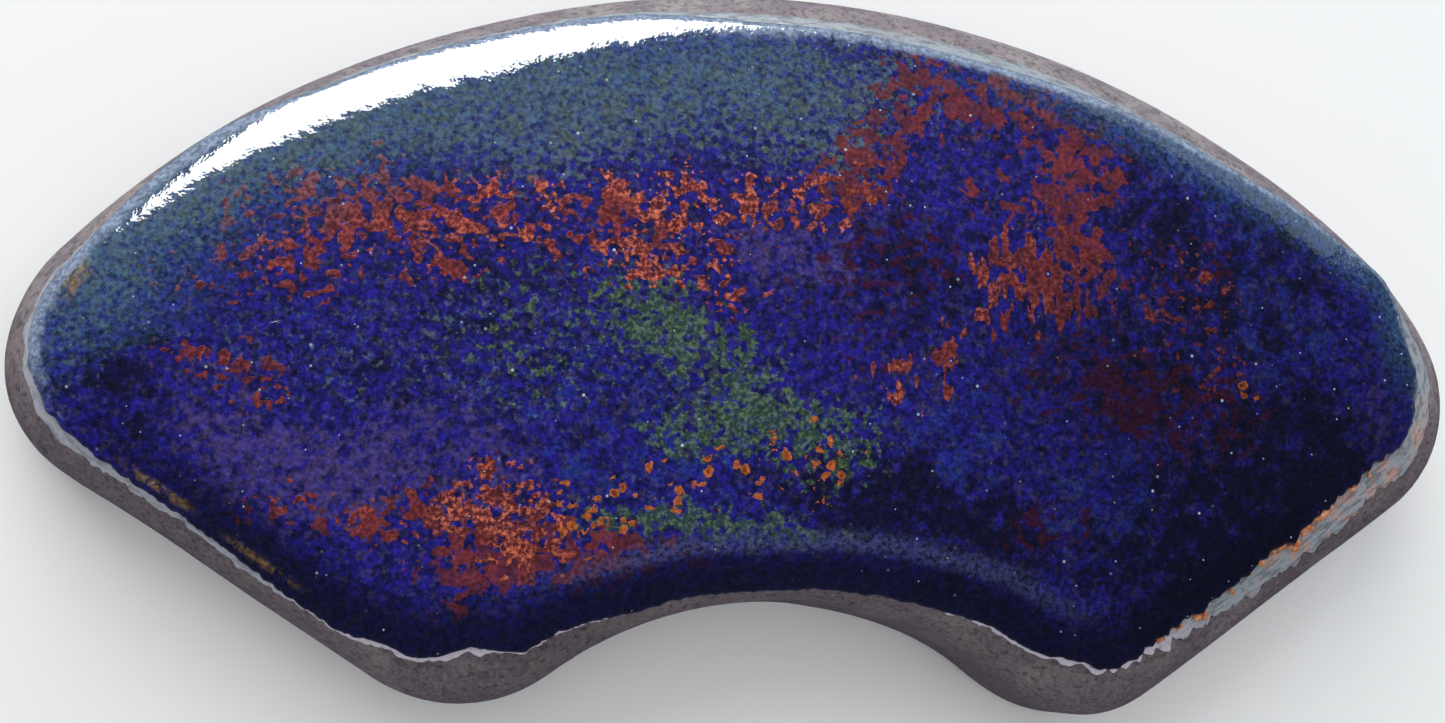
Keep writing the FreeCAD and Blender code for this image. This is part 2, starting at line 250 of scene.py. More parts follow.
@dataclass(frozen=True)
class SlabSurface:
    """The slab's outer surface, and surfaces that stand a coat's thickness off it."""

    thickness: float
    outline: FanOutline = FanOutline()
    crown_long_radius: float = 260.0
    crown_cross_radius: float = 80.0
    shoulder_radius: float = 4.2
    back_edge_radius: float = 1.2
    spine_reach: float = 22.0
    spine_flare: float = 5.1

    def crown(self, x: float, y: float, build: float = 0.0) -> float:
        """The height of the crowned face over a point, for a coat of the given build."""
        bow = math.sqrt((self.crown_long_radius + build) ** 2 - x * x)
        across = self.crown_cross_radius - self.crown_long_radius + bow
        return self.thickness - self.crown_cross_radius + math.sqrt(across**2 - y * y)

    def spine(self, girth: float) -> Vector:
        """The middle line's point that a girth is drawn in to."""
        outline = self.outline
        share = min(abs(girth), outline.half_girth - abs(girth)) / (outline.half_girth / 2)
        x = self.spine_reach * share
        middle = (outline.outer_radius + outline.notch_radius) / 2
        reach = middle + self.spine_flare * share**2
        return Vector((math.copysign(x, girth), math.sqrt(reach**2 - x * x) - outline.apex_drop))

    def column(self, girth: float) -> Column:
        """Works out where the shoulder sits at a girth, so that it's tangent to the crown."""
        point, normal = self.outline.at(girth)
        centre = point - self.shoulder_radius * normal
        lean, step = 0.0, 0.01
        for _ in range(5):
            start = centre + self.shoulder_radius * math.sin(lean) * normal
            ahead, behind = start + step * normal, start - step * normal
            fall = self.crown(behind.x, behind.y) - self.crown(ahead.x, ahead.y)
            lean = math.atan(fall / (2 * step))
        start = centre + self.shoulder_radius * math.sin(lean) * normal
        height = self.crown(start.x, start.y) - self.shoulder_radius * math.cos(lean)
        return Column(girth, normal, centre, height, lean, start, self.spine(girth))

    def columns(self, count: int, edge: Callable[[Column], float]) -> list[Column]:
        """Evenly spaced columns round the whole outline, starting at the notch's middle.

        No column stands on the middle itself or on a spine's end, so that columns fold together
        in pairs along the spine and leave no flap.

        Args:
            count: how many columns.
            edge: gives the reach of the coat's edge at a column.

        Returns:
            The columns, each with its edge worked out.
        """
        half = self.outline.half_girth
        plain = (self.column(half * ((2 * index + 1) / count - 1)) for index in range(count))
        return [replace(column, edge=edge(column)) for column in plain]

    def on_shoulder(self, column: Column, reach: float, build: float) -> Vector:
        """A point on the shoulder or the wall, a build off the clay."""
        turn = min(column.lean + reach / self.shoulder_radius, math.pi / 2)
        below = max(reach - self.shoulder_radius * (math.pi / 2 - column.lean), 0.0)
        radius = self.shoulder_radius + build
        plan = column.centre + radius * math.sin(turn) * column.normal
        return Vector((plan.x, plan.y, column.centre_height + radius * math.cos(turn) - below))

    def on_crown(self, column: Column, share: float, build: float) -> Vector:
        """A point on the crowned face, a share of the way from the shoulder to the spine."""
        plan = column.start.lerp(column.spine, share)
        return Vector((plan.x, plan.y, self.crown(plan.x, plan.y, build)))

    def at(self, column: Column, reach: float, build: float) -> Vector:
        """A point at a reach; a negative one is drawn in over the crown towards the spine."""
        if reach >= 0:
            return self.on_shoulder(column, reach, build)
        span = (column.start - column.spine).length
        return self.on_crown(column, min(-reach / span, 1.0), build)


# ---------------------------------------------------------------- edges that wander


# Reach of the blue glaze's edge, by girth.
BLUE_REACH = (
    (-78.0, 3.70), (-72.0, 3.20), (-68.0, 2.25), (-63.8, 1.20), (-60.0, 2.05), (-57.0, 2.95),
    (-48.0, 2.70), (-41.0, 2.25), (-35.0, 2.55), (-27.0, 3.20), (-20.0, 2.40), (-10.0, 2.00),
    (0.0, 1.15), (8.0, 0.95), (20.0, 1.35), (28.0, 1.90), (31.0, 2.20), (35.0, 0.85),
    (40.0, 0.42), (46.0, 0.80), (52.0, 1.15), (60.0, 1.10), (64.0, 1.55), (69.0, 2.90),
    (73.0, 3.40),
)

# Width of the pale coat's band beyond it, by girth.
PALE_WIDTH = (
    (-78.0, 0.30), (-66.0, 0.30), (-58.0, 0.48), (-50.0, 0.68), (-44.0, 0.76), (-38.0, 0.60),
    (-32.0, 0.50), (-26.0, 0.66), (-20.0, 0.65), (-8.0, 0.60), (0.0, 0.80), (9.0, 0.85),
    (20.0, 0.50), (30.0, 0.55), (35.0, 1.15), (41.0, 1.25), (46.0, 1.50), (53.0, 1.45),
    (58.0, 0.80), (60.5, 0.36), (70.0, 0.32),
)

# How ragged both edges are, by girth.
RAGGEDNESS = (
    (-78.0, 0.17), (-60.0, 0.17), (-46.0, 0.20), (-30.0, 0.08), (0.0, 0.06), (25.0, 0.06),
    (40.0, 0.12), (47.0, 0.30), (56.0, 0.36), (62.0, 0.30), (68.0, 0.14),
)


class Seeds(Enum):
    """Where each piece starts in the noise, so that no two wander alike."""

    BLUE_EDGE = 11.0
    PALE_EDGE = 37.0
    SLAB = 53.0
    GRAINS = 71.0


def ring_noise(point: Vector, size: float, seed: float, octaves: int = 3) -> float:
    """Noise of about -1 to 1 at a point in millimetres, with lumps of about the given size."""
    spot = Vector((point.x / size + seed, point.y / size - seed, point.z / size + seed))
    return noise.fractal(spot, 0.9, 2.0, octaves)


@dataclass(frozen=True)
class GlazeEdges:
    """Where the two coats end, round the whole slab."""

    surface: SlabSurface
    blue_share: float = 0.8
    pale_share: float = 1.3
    least_width: float = 0.10

    def wander(self, stations: Sequence[tuple[float, float]]) -> Wander:
        """A wandering value that closes at this slab's notch."""
        return Wander(stations, self.surface.outline.half_girth)

    def ragged(self, column: Column, seed: Seeds) -> float:
        """The irregular part of an edge: lazy waves with small torn scallops on them."""
        amount = self.wander(RAGGEDNESS).at(column.girth)
        spot = Vector((column.start.x, column.start.y, 0))
        waves = ring_noise(spot, 2.4, seed.value, 2)
        scallops = abs(ring_noise(spot, 0.75, seed.value + 5, 2)) - 0.25
        nicks = ring_noise(spot, 0.3, seed.value + 9, 2)
        return amount * (0.55 * waves + 1.15 * scallops + 0.5 * nicks)

    def blue(self, column: Column) -> float:
        """The reach of the blue glaze's edge at a column."""
        reach = self.wander(BLUE_REACH).at(column.girth)
        return reach + self.blue_share * self.ragged(column, Seeds.BLUE_EDGE)

    def pale(self, column: Column) -> float:
        """The reach of the pale coat's edge, always a little beyond the blue."""
        width = self.wander(PALE_WIDTH).at(column.girth)
        width += self.pale_share * self.ragged(column, Seeds.PALE_EDGE)
        return self.blue(column) + max(width, self.least_width)


# ---------------------------------------------------------------- mesh work


Row = Callable[[Column], Vector]


def grid_shell(columns: Sequence[Column], rows: Sequence[Row]) -> bmesh.types.BMesh:
    """A closed shell: a grid whose columns go round the slab and whose rows go over it.

    Args:
        columns: the columns, once round.
        rows: functions that place a column's point, from one spine to the other.

    Returns:
        The shell in metres, joined where the first column meets the last and along the spines.
    """
    mesh = bmesh.new()
    bmesh.ops.create_grid(mesh, x_segments=len(columns), y_segments=len(rows) - 1, size=1.0)
    ordered = sorted(mesh.verts, key=lambda v: (round(v.co.y, 6), v.co.x))
    width = len(columns) + 1
    for row_index, place in enumerate(rows):
        points = [place(column) * MM for column in columns]
        row = ordered[row_index * width:(row_index + 1) * width]
        for vertex, point in zip(row, points + points[:1]):
            vertex.co = point
    bmesh.ops.remove_doubles(mesh, verts=mesh.verts, dist=JOIN_WITHIN)
    bmesh.ops.recalc_face_normals(mesh, faces=mesh.faces)
    return mesh


def finish_piece(
    mesh: bmesh.types.BMesh, name: str, material: bpy.types.Material
) -> bpy.types.Object:
    """Turns a bmesh into a smooth-shaded object at the origin, with its material."""
    data = bpy.data.meshes.new(name)
    for face in mesh.faces:
        face.smooth = True
    mesh.to_mesh(data)
    mesh.free()
    data.materials.append(material)
    piece = bpy.data.objects.new(name, data)
    bpy.context.scene.collection.objects.link(piece)
    return piece


def store(piece: bpy.types.Object, name: str, values: Sequence[float]) -> None:
    """Keeps one number for every vertex, for a material to read."""
    layer = piece.data.attributes.new(name, "FLOAT", "POINT")
    layer.data.foreach_set("value", values)


def paint(piece: bpy.types.Object, name: str, value: Callable[[Vector], float]) -> None:
    """Stores a number on every vertex, worked out from its place in millimetres."""
    store(piece, name, [value(vertex.co / MM) for vertex in piece.data.vertices])


# ---------------------------------------------------------------- shader work


class Palette:
    """Builds one material's nodes; every pattern is in millimetres of the part's own frame."""

    def __init__(self, name: str) -> None:
        """Starts an empty node material with its shader and its millimetre coordinates."""
        self.material = bpy.data.materials.new(name)
        self.material.use_nodes = True
        self.tree = self.material.node_tree
        self.shader = self.tree.nodes["Principled BSDF"]
        place = self.tree.nodes.new("ShaderNodeTexCoord").outputs["Object"]
        self.place = self.vector("SCALE", place, scale=1 / MM)

    def feed(self, socket: Socket, value: object) -> None:
        """Links a socket to another, or sets its own value; a colour gains its alpha."""
        if isinstance(value, bpy.types.NodeSocket):
            self.tree.links.new(value, socket)
        elif socket.type == "RGBA":
            socket.default_value = (*value, 1.0)
        else:
            socket.default_value = value

    def vector(
        self, how: str, first: object, second: object = None, scale: float | None = None
    ) -> Socket:
        """A vector sum, product or scaling."""
        node = self.tree.nodes.new("ShaderNodeVectorMath")
        node.operation = how
        self.feed(node.inputs[0], first)
        if second is not None:
            self.feed(node.inputs[1], second)
        if scale is not None:
            self.feed(node.inputs["Scale"], scale)
        return node.outputs["Vector"]

    def math(self, how: str, first: object, second: object = 0.0) -> Socket:
        """One arithmetic step on two numbers."""
        node = self.tree.nodes.new("ShaderNodeMath")
        node.operation = how
        self.feed(node.inputs[0], first)
        self.feed(node.inputs[1], second)
        return node.outputs[0]

    def span(
        self, value: object, low: object, high: object, to: tuple[float, float] = (0.0, 1.0)
    ) -> Socket:
        """A soft step from one result at low to another at high."""
        node = self.tree.nodes.new("ShaderNodeMapRange")
        node.interpolation_type = "SMOOTHSTEP"
        for socket, number in zip(node.inputs, (value, low, high, *to)):
            self.feed(socket, number)
        return node.outputs[0]

    def noise(
        self, per_mm: float, detail: float = 2.0, rough: float = 0.5,
        shift: Colour = (0.0, 0.0, 0.0), stretch: Colour = (1.0, 1.0, 1.0), warp: float = 0.0,
    ) -> Socket:
        """Cloudy noise, with about the given number of lumps to a millimetre."""
        place = self.vector("ADD", self.vector("MULTIPLY", self.place, stretch), shift)
        node = self.tree.nodes.new("ShaderNodeTexNoise")
        self.feed(node.inputs["Vector"], place)
        node.inputs["Scale"].default_value = per_mm
        node.inputs["Detail"].default_value = detail
        node.inputs["Roughness"].default_value = rough
        node.inputs["Distortion"].default_value = warp
        return node.outputs["Fac"]

    def drawn_out(self, across: str, along: str, per_mm: float, along_per_mm: float) -> Socket:
        """Noise drawn out along the rim, from two numbers painted on the piece."""
        join = self.tree.nodes.new("ShaderNodeCombineXYZ")
        self.feed(join.inputs[0], self.math("MULTIPLY", self.painted(across), per_mm))
        self.feed(join.inputs[1], self.math("MULTIPLY", self.painted(along), along_per_mm))
        node = self.tree.nodes.new("ShaderNodeTexNoise")
        self.feed(node.inputs["Vector"], join.outputs[0])
        node.inputs["Scale"].default_value = 1.0
        node.inputs["Detail"].default_value = 3.0
        node.inputs["Roughness"].default_value = 0.6
        return node.outputs["Fac"]

    def cells(self, per_mm: float, shift: Colour = (0.0, 0.0, 0.0)) -> tuple[Socket, Socket]:
        """Scattered points: the distance to the nearest, and a colour of its own."""
        node = self.tree.nodes.new("ShaderNodeTexVoronoi")
        self.feed(node.inputs["Vector"], self.vector("ADD", self.place, shift))
        node.inputs["Scale"].default_value = per_mm
        return node.outputs["Distance"], node.outputs["Color"]

    def painted(self, name: str) -> Socket:
        """A number painted on the piece's own vertices."""
        node = self.tree.nodes.new("ShaderNodeAttribute")
        node.attribute_name = name
        return node.outputs["Fac"]

    def mix(self, share: object, under: object, over: object, how: str = "MIX") -> Socket:
        """One colour mixed over another; the node's colours are its sockets 6, 7 and 2."""
        node = self.tree.nodes.new("ShaderNodeMix")
        node.data_type = "RGBA"
        node.blend_type = how
        self.feed(node.inputs["Factor"], share)
        self.feed(node.inputs[6], under)
        self.feed(node.inputs[7], over)
        return node.outputs[2]

    def lay(self, under: object, over: object, where: Socket, strength: float) -> Socket:
        """Lays a colour over another where a pattern says, up to a strength."""
        return self.mix(self.math("MULTIPLY", where, strength), under, over)

    def bump(self, height: Socket, depth_mm: float, under: Socket | None = None) -> Socket:
        """Relief of a depth in millimetres, on top of another if one is given."""
        node = self.tree.nodes.new("ShaderNodeBump")
        node.inputs["Strength"].default_value = 1.0
        node.inputs["Distance"].default_value = depth_mm * MM
        self.feed(node.inputs["Height"], height)
        if under is not None:
            self.feed(node.inputs["Normal"], under)
        return node.outputs["Normal"]

    def flakes(
        self, cover: object, pattern: Socket, edge: float = 0.012,
        rare: float = 0.70, common: float = 0.46,
    ) -> Socket:
        """Turns a cover of 0 to 1 into flakes cut from a pattern.

        Args:
            cover: how much of the face the flakes take.
            pattern: noise that the flakes are cut from.
            edge: half the softness of a flake's edge.
            rare: where the pattern is cut at no cover.
            common: where it's cut at full cover.

        Returns:
            1 in the flakes and 0 between them.
        """
        line = self.math("MULTIPLY_ADD", cover, common - rare)
        line.node.inputs[2].default_value = rare
        cut = self.span(pattern, self.math("SUBTRACT", line, edge), self.math("ADD", line, edge))
        return self.math("MULTIPLY", cut, self.span(cover, 0.02, 0.14))


@dataclass(frozen=True)
class SmokedClay:
    """Bare low-fired clay, smoked grey-brown, with a dry grain."""

    body: Colour = srgb(130, 118, 126)
    # Dark clay, laid by random blotches and by the smoke mask's painted shade.
    dark_and_shade: Colour = srgb(90, 78, 86)
    light: Colour = srgb(156, 147, 148)
    speck: Colour = srgb(52, 45, 48)

    def material(self) -> bpy.types.Material:
        """Makes the clay's material."""
        box = Palette("smoked_clay")
        clouds = box.noise(0.35, 3.0, 0.55)
        grain = box.noise(5.5, 3.0, 0.65)
        blotches = box.noise(1.4, 3.0, 0.6, shift=(9.0, 3.0, 5.0))
        colour = box.mix(box.span(clouds, 0.42, 0.62), self.body, self.light)
        # Smoke and painted shade: darker in front and lower down, over random smoke clouds.
        colour = box.lay(colour, self.dark_and_shade, box.painted("smoke_and_shade"), 0.85)
        colour = box.lay(colour, self.dark_and_shade, box.span(blotches, 0.5, 0.64), 0.5)
        colour = box.lay(colour, self.light, box.span(grain, 0.50, 0.66), 0.30)
        pits = box.noise(3.4, 3.0, 0.7, (6.0, 1.0, 2.0))
        colour = box.lay(colour, self.speck, box.span(pits, 0.52, 0.64), 0.6)
        distance, _ = box.cells(1.9)
        colour = box.lay(colour, self.speck, box.span(distance, 0.17, 0.10), 0.6)
        colour = box.lay(colour, self.light, box.painted("wear"), 0.6)
        box.feed(box.shader.inputs["Base Color"], colour)
        rough = box.span(grain, 0.3, 0.7, (0.92, 0.70))
        box.feed(box.shader.inputs["Roughness"], rough)
        relief = box.bump(grain, 0.035)
        relief = box.bump(blotches, 0.06, relief)
        box.feed(box.shader.inputs["Normal"], relief)
        box.shader.inputs["Specular IOR Level"].default_value = 0.35
        return box.material


@dataclass(frozen=True)
class PaleCoat:
    """The thin under-glaze: lavender-white where it's a lip, grey-blue where it's a band."""

    lip: Colour = srgb(214, 206, 220)
    band: Colour = srgb(156, 164, 172)
    shade: Colour = srgb(78, 80, 84)
    blush: Colour = srgb(196, 158, 146)

    def material(self) -> bpy.types.Material:
        """Makes the pale coat's material."""
        box = Palette("pale_under_glaze")
        clouds = box.noise(1.1, 3.0, 0.6)
        grain = box.noise(6.0, 2.0, 0.6, shift=(4.0, 8.0, 1.0))
        streaks = box.drawn_out("away", "girth", 4.0, 0.9)
        colour = box.mix(box.painted("cool"), self.lip, self.band)
        blush = box.math("MULTIPLY", box.painted("blush"), box.span(clouds, 0.48, 0.6))
        colour = box.mix(blush, colour, self.blush)
        shade = box.math("MULTIPLY", box.span(streaks, 0.48, 0.60), box.painted("cool"))
        colour = box.lay(colour, self.shade, shade, 0.55)
        colour = box.lay(colour, self.shade, box.span(grain, 0.52, 0.7), 0.3)
        box.feed(box.shader.inputs["Base Color"], colour)
        rough = box.span(clouds, 0.3, 0.7, (0.28, 0.5))
        box.feed(box.shader.inputs["Roughness"], rough)
        relief = box.bump(grain, 0.015)
        box.feed(box.shader.inputs["Normal"], box.bump(streaks, 0.03, relief))
        box.shader.inputs["Coat Weight"].default_value = 0.35
        box.shader.inputs["Coat Roughness"].default_value = 0.2
        return box.material


class Bloom(Enum):
    """The kinds of bloom in the blue glaze, each painted on the glaze as a cover of 0 to 1."""

    COPPER = "copper"
    DASH = "dash"
    SHEET = "sheet"
    ORANGE = "orange"
    MAROON = "maroon"
    GREEN = "green"
    # Teal granules, partly painted reflection below the highlight.
    TEAL_AND_REFLECTION = "teal_and_reflection"
    LAVENDER = "lavender"
    DEEP = "deep"
    BRIGHT = "bright"


@dataclass(frozen=True)
class Patch:
    """One soft oval of a bloom, in millimetres and degrees, in plan."""

    kind: Bloom
    x: float
    y: float
    half_length: float
    half_width: float
    turn: float = 0.0
    cover: float = 0.5

    def at(self, x: float, y: float) -> float:
        """The cover at a point: full in the middle, fading out at the rim."""
        lean = math.radians(self.turn)
        dx, dy = x - self.x, y - self.y
        along = (dx * math.cos(lean) + dy * math.sin(lean)) / self.half_length
        across = (-dx * math.sin(lean) + dy * math.cos(lean)) / self.half_width
        return self.cover * smooth(math.hypot(along, across), 1.45, 0.35)


# Where each bloom lies: its kind, x, y, half length, half width, turn in degrees and cover.
PATCHES = (
    Patch(Bloom.COPPER, -19.4, 4.2, 3.6, 2.0, 4, 0.74),
    Patch(Bloom.COPPER, -15.2, 3.6, 3.4, 2.0, -6, 0.64),
    Patch(Bloom.COPPER, -9.4, 4.0, 4.2, 2.1, -4, 0.56),
    Patch(Bloom.COPPER, -4.6, 4.4, 4.0, 1.9, 8, 0.52),
    Patch(Bloom.COPPER, 0.4, 5.8, 3.4, 1.4, 14, 0.54),
    Patch(Bloom.COPPER, -5.6, 1.9, 4.6, 0.9, -8, 0.50),
    Patch(Bloom.SHEET, 2.6, 7.0, 2.8, 1.9, 46, 0.95),
    Patch(Bloom.SHEET, 4.6, 10.0, 3.0, 2.2, 30, 0.85),
    Patch(Bloom.SHEET, 8.8, 10.4, 3.4, 1.7, -10, 0.72),
    Patch(Bloom.SHEET, 8.8, 6.8, 2.8, 1.8, 0, 0.50),
    Patch(Bloom.SHEET, 12.6, 5.0, 2.2, 3.4, 8, 0.88),
    Patch(Bloom.SHEET, 12.6, 8.4, 2.2, 2.0, -35, 0.62),
    Patch(Bloom.DASH, 9.4, 2.6, 2.0, 2.6, 0, 0.95),
    Patch(Bloom.DASH, 11.6, 3.6, 2.0, 2.6, 0, 0.70),
    Patch(Bloom.DASH, 5.8, -1.2, 3.4, 1.6, 40, 0.66),
    Patch(Bloom.COPPER, -12.0, -8.2, 2.8, 2.0, -10, 1.00),
    Patch(Bloom.SHEET, -10.6, -9.4, 3.4, 1.4, 8, 0.90),
    Patch(Bloom.SHEET, -13.8, -10.4, 2.0, 1.4, 8, 0.60),
    Patch(Bloom.SHEET, -8.0, -9.4, 2.6, 1.0, 8, 0.62),
    Patch(Bloom.COPPER, -16.0, -8.2, 2.6, 1.4, 0, 0.50),
    Patch(Bloom.COPPER, -23.4, -2.6, 2.4, 0.9, -12, 0.60),
    Patch(Bloom.COPPER, -19.0, -7.8, 3.0, 1.0, 4, 0.48),
    Patch(Bloom.COPPER, -22.4, 1.6, 3.0, 1.6, 0, 0.44),
    Patch(Bloom.COPPER, 17.4, 1.2, 3.0, 3.0, 0, 0.30),
    Patch(Bloom.ORANGE, -8.8, -7.8, 1.6, 1.3, 10, 1.00),
    Patch(Bloom.ORANGE, -4.2, -6.5, 4.6, 1.1, 8, 0.62),
    Patch(Bloom.ORANGE, 0.8, -5.4, 1.8, 0.9, 30, 0.80),
    Patch(Bloom.ORANGE, 19.8, -1.4, 1.2, 0.6, -20, 0.60),
    Patch(Bloom.MAROON, 17.6, -3.0, 4.4, 2.8, -15, 0.74),
    Patch(Bloom.MAROON, 10.4, -8.4, 2.8, 1.6, 10, 0.76),
    Patch(Bloom.MAROON, 12.4, -1.2, 3.6, 2.6, 0, 0.62),
    Patch(Bloom.MAROON, 3.4, 3.0, 4.6, 2.2, 10, 0.64),
    Patch(Bloom.MAROON, -6.8, -10.0, 3.6, 1.0, 6, 0.85),
    Patch(Bloom.MAROON, 12.0, 10.0, 4.0, 2.0, -25, 0.60),
    Patch(Bloom.MAROON, 17.5, 3.5, 3.0, 3.6, 0, 0.50),
    Patch(Bloom.MAROON, 4.0, -0.6, 3.0, 1.6, 0, 0.45),
    Patch(Bloom.GREEN, -6.8, 0.8, 3.0, 1.4, -20, 0.60),
    Patch(Bloom.GREEN, -3.6, -1.4, 3.6, 2.0, -24, 0.82),
    Patch(Bloom.GREEN, -3.2, -4.4, 4.0, 1.4, 0, 0.95),
    Patch(Bloom.GREEN, -2.4, -8.2, 4.6, 0.9, 0, 0.80),
    Patch(Bloom.GREEN, 1.6, -4.6, 2.6, 1.8, 0, 0.62),
    Patch(Bloom.GREEN, -10.4, -0.6, 3.6, 3.0, 0, 0.46),
    Patch(Bloom.GREEN, -6.6, -7.8, 3.0, 1.0, 0, 0.55),
    # Teal, partly painted reflection: the first three patches lie along the top arc under the
    # window's highlight.
    Patch(Bloom.TEAL_AND_REFLECTION, -22.0, 7.0, 8.0, 2.8, 28, 1.00),
    Patch(Bloom.TEAL_AND_REFLECTION, -10.5, 9.0, 9.0, 3.2, 8, 1.00),
    Patch(Bloom.TEAL_AND_REFLECTION, 1.0, 10.6, 6.0, 2.8, 2, 0.85),
    Patch(Bloom.TEAL_AND_REFLECTION, -28.2, 1.4, 2.6, 4.4, -20, 0.72),
    Patch(Bloom.TEAL_AND_REFLECTION, -16.0, -1.4, 9.0, 3.0, 0, 0.30),
    Patch(Bloom.TEAL_AND_REFLECTION, 0.6, 7.4, 4.0, 1.2, 0, 0.40),
    Patch(Bloom.LAVENDER, -21.0, -6.2, 5.0, 2.6, -28, 0.95),
    Patch(Bloom.LAVENDER, -14.5, -6.0, 4.6, 2.4, -12, 0.78),
    Patch(Bloom.LAVENDER, -0.6, 3.0, 3.0, 1.9, 0, 0.80),
    Patch(Bloom.LAVENDER, 27.2, -2.2, 1.2, 2.2, 0, 0.60),
    Patch(Bloom.DEEP, 2.6, -6.6, 4.4, 1.9, 0, 0.85),
    Patch(Bloom.DEEP, 19.0, -8.0, 6.5, 4.0, 30, 1.00),
    Patch(Bloom.DEEP, 22.5, -4.2, 4.0, 3.4, 0, 0.85),
    Patch(Bloom.DEEP, 20.5, 4.0, 4.4, 3.8, 0, 0.72),
    Patch(Bloom.DEEP, 15.6, 7.0, 2.6, 4.4, 0, 0.66),
    Patch(Bloom.DEEP, 15.0, -1.0, 5.0, 3.4, 0, 0.62),
    Patch(Bloom.DEEP, 4.0, 2.6, 4.4, 2.6, 0, 0.66),
    Patch(Bloom.DEEP, -27.0, -3.0, 2.4, 2.4, -30, 0.66),
    Patch(Bloom.DEEP, -13.0, 0.4, 2.6, 3.4, 0, 0.55),
    Patch(Bloom.DEEP, 7.4, -8.4, 5.4, 2.6, -18, 0.80),
    Patch(Bloom.DEEP, -18.0, -3.0, 4.0, 2.0, 0, 0.35),
    Patch(Bloom.BRIGHT, 6.8, -4.0, 4.0, 3.0, 0, 0.60),
    Patch(Bloom.BRIGHT, -8.6, -2.8, 6.0, 3.0, 0, 0.45),
    Patch(Bloom.BRIGHT, -20.0, 0.0, 5.0, 2.6, 0, 0.30),
    Patch(Bloom.BRIGHT, 13.4, -7.2, 3.2, 2.8, 0, 0.72),
    Patch(Bloom.BRIGHT, 21.6, 1.0, 4.0, 2.4, 0, 0.72),
    Patch(Bloom.BRIGHT, 19.0, 6.0, 4.4, 2.4, -40, 0.72),
    Patch(Bloom.BRIGHT, 8.0, 11.6, 4.0, 1.6, -14, 0.60),
    Patch(Bloom.BRIGHT, -6.0, -6.6, 6.0, 1.8, 4, 0.62),
)


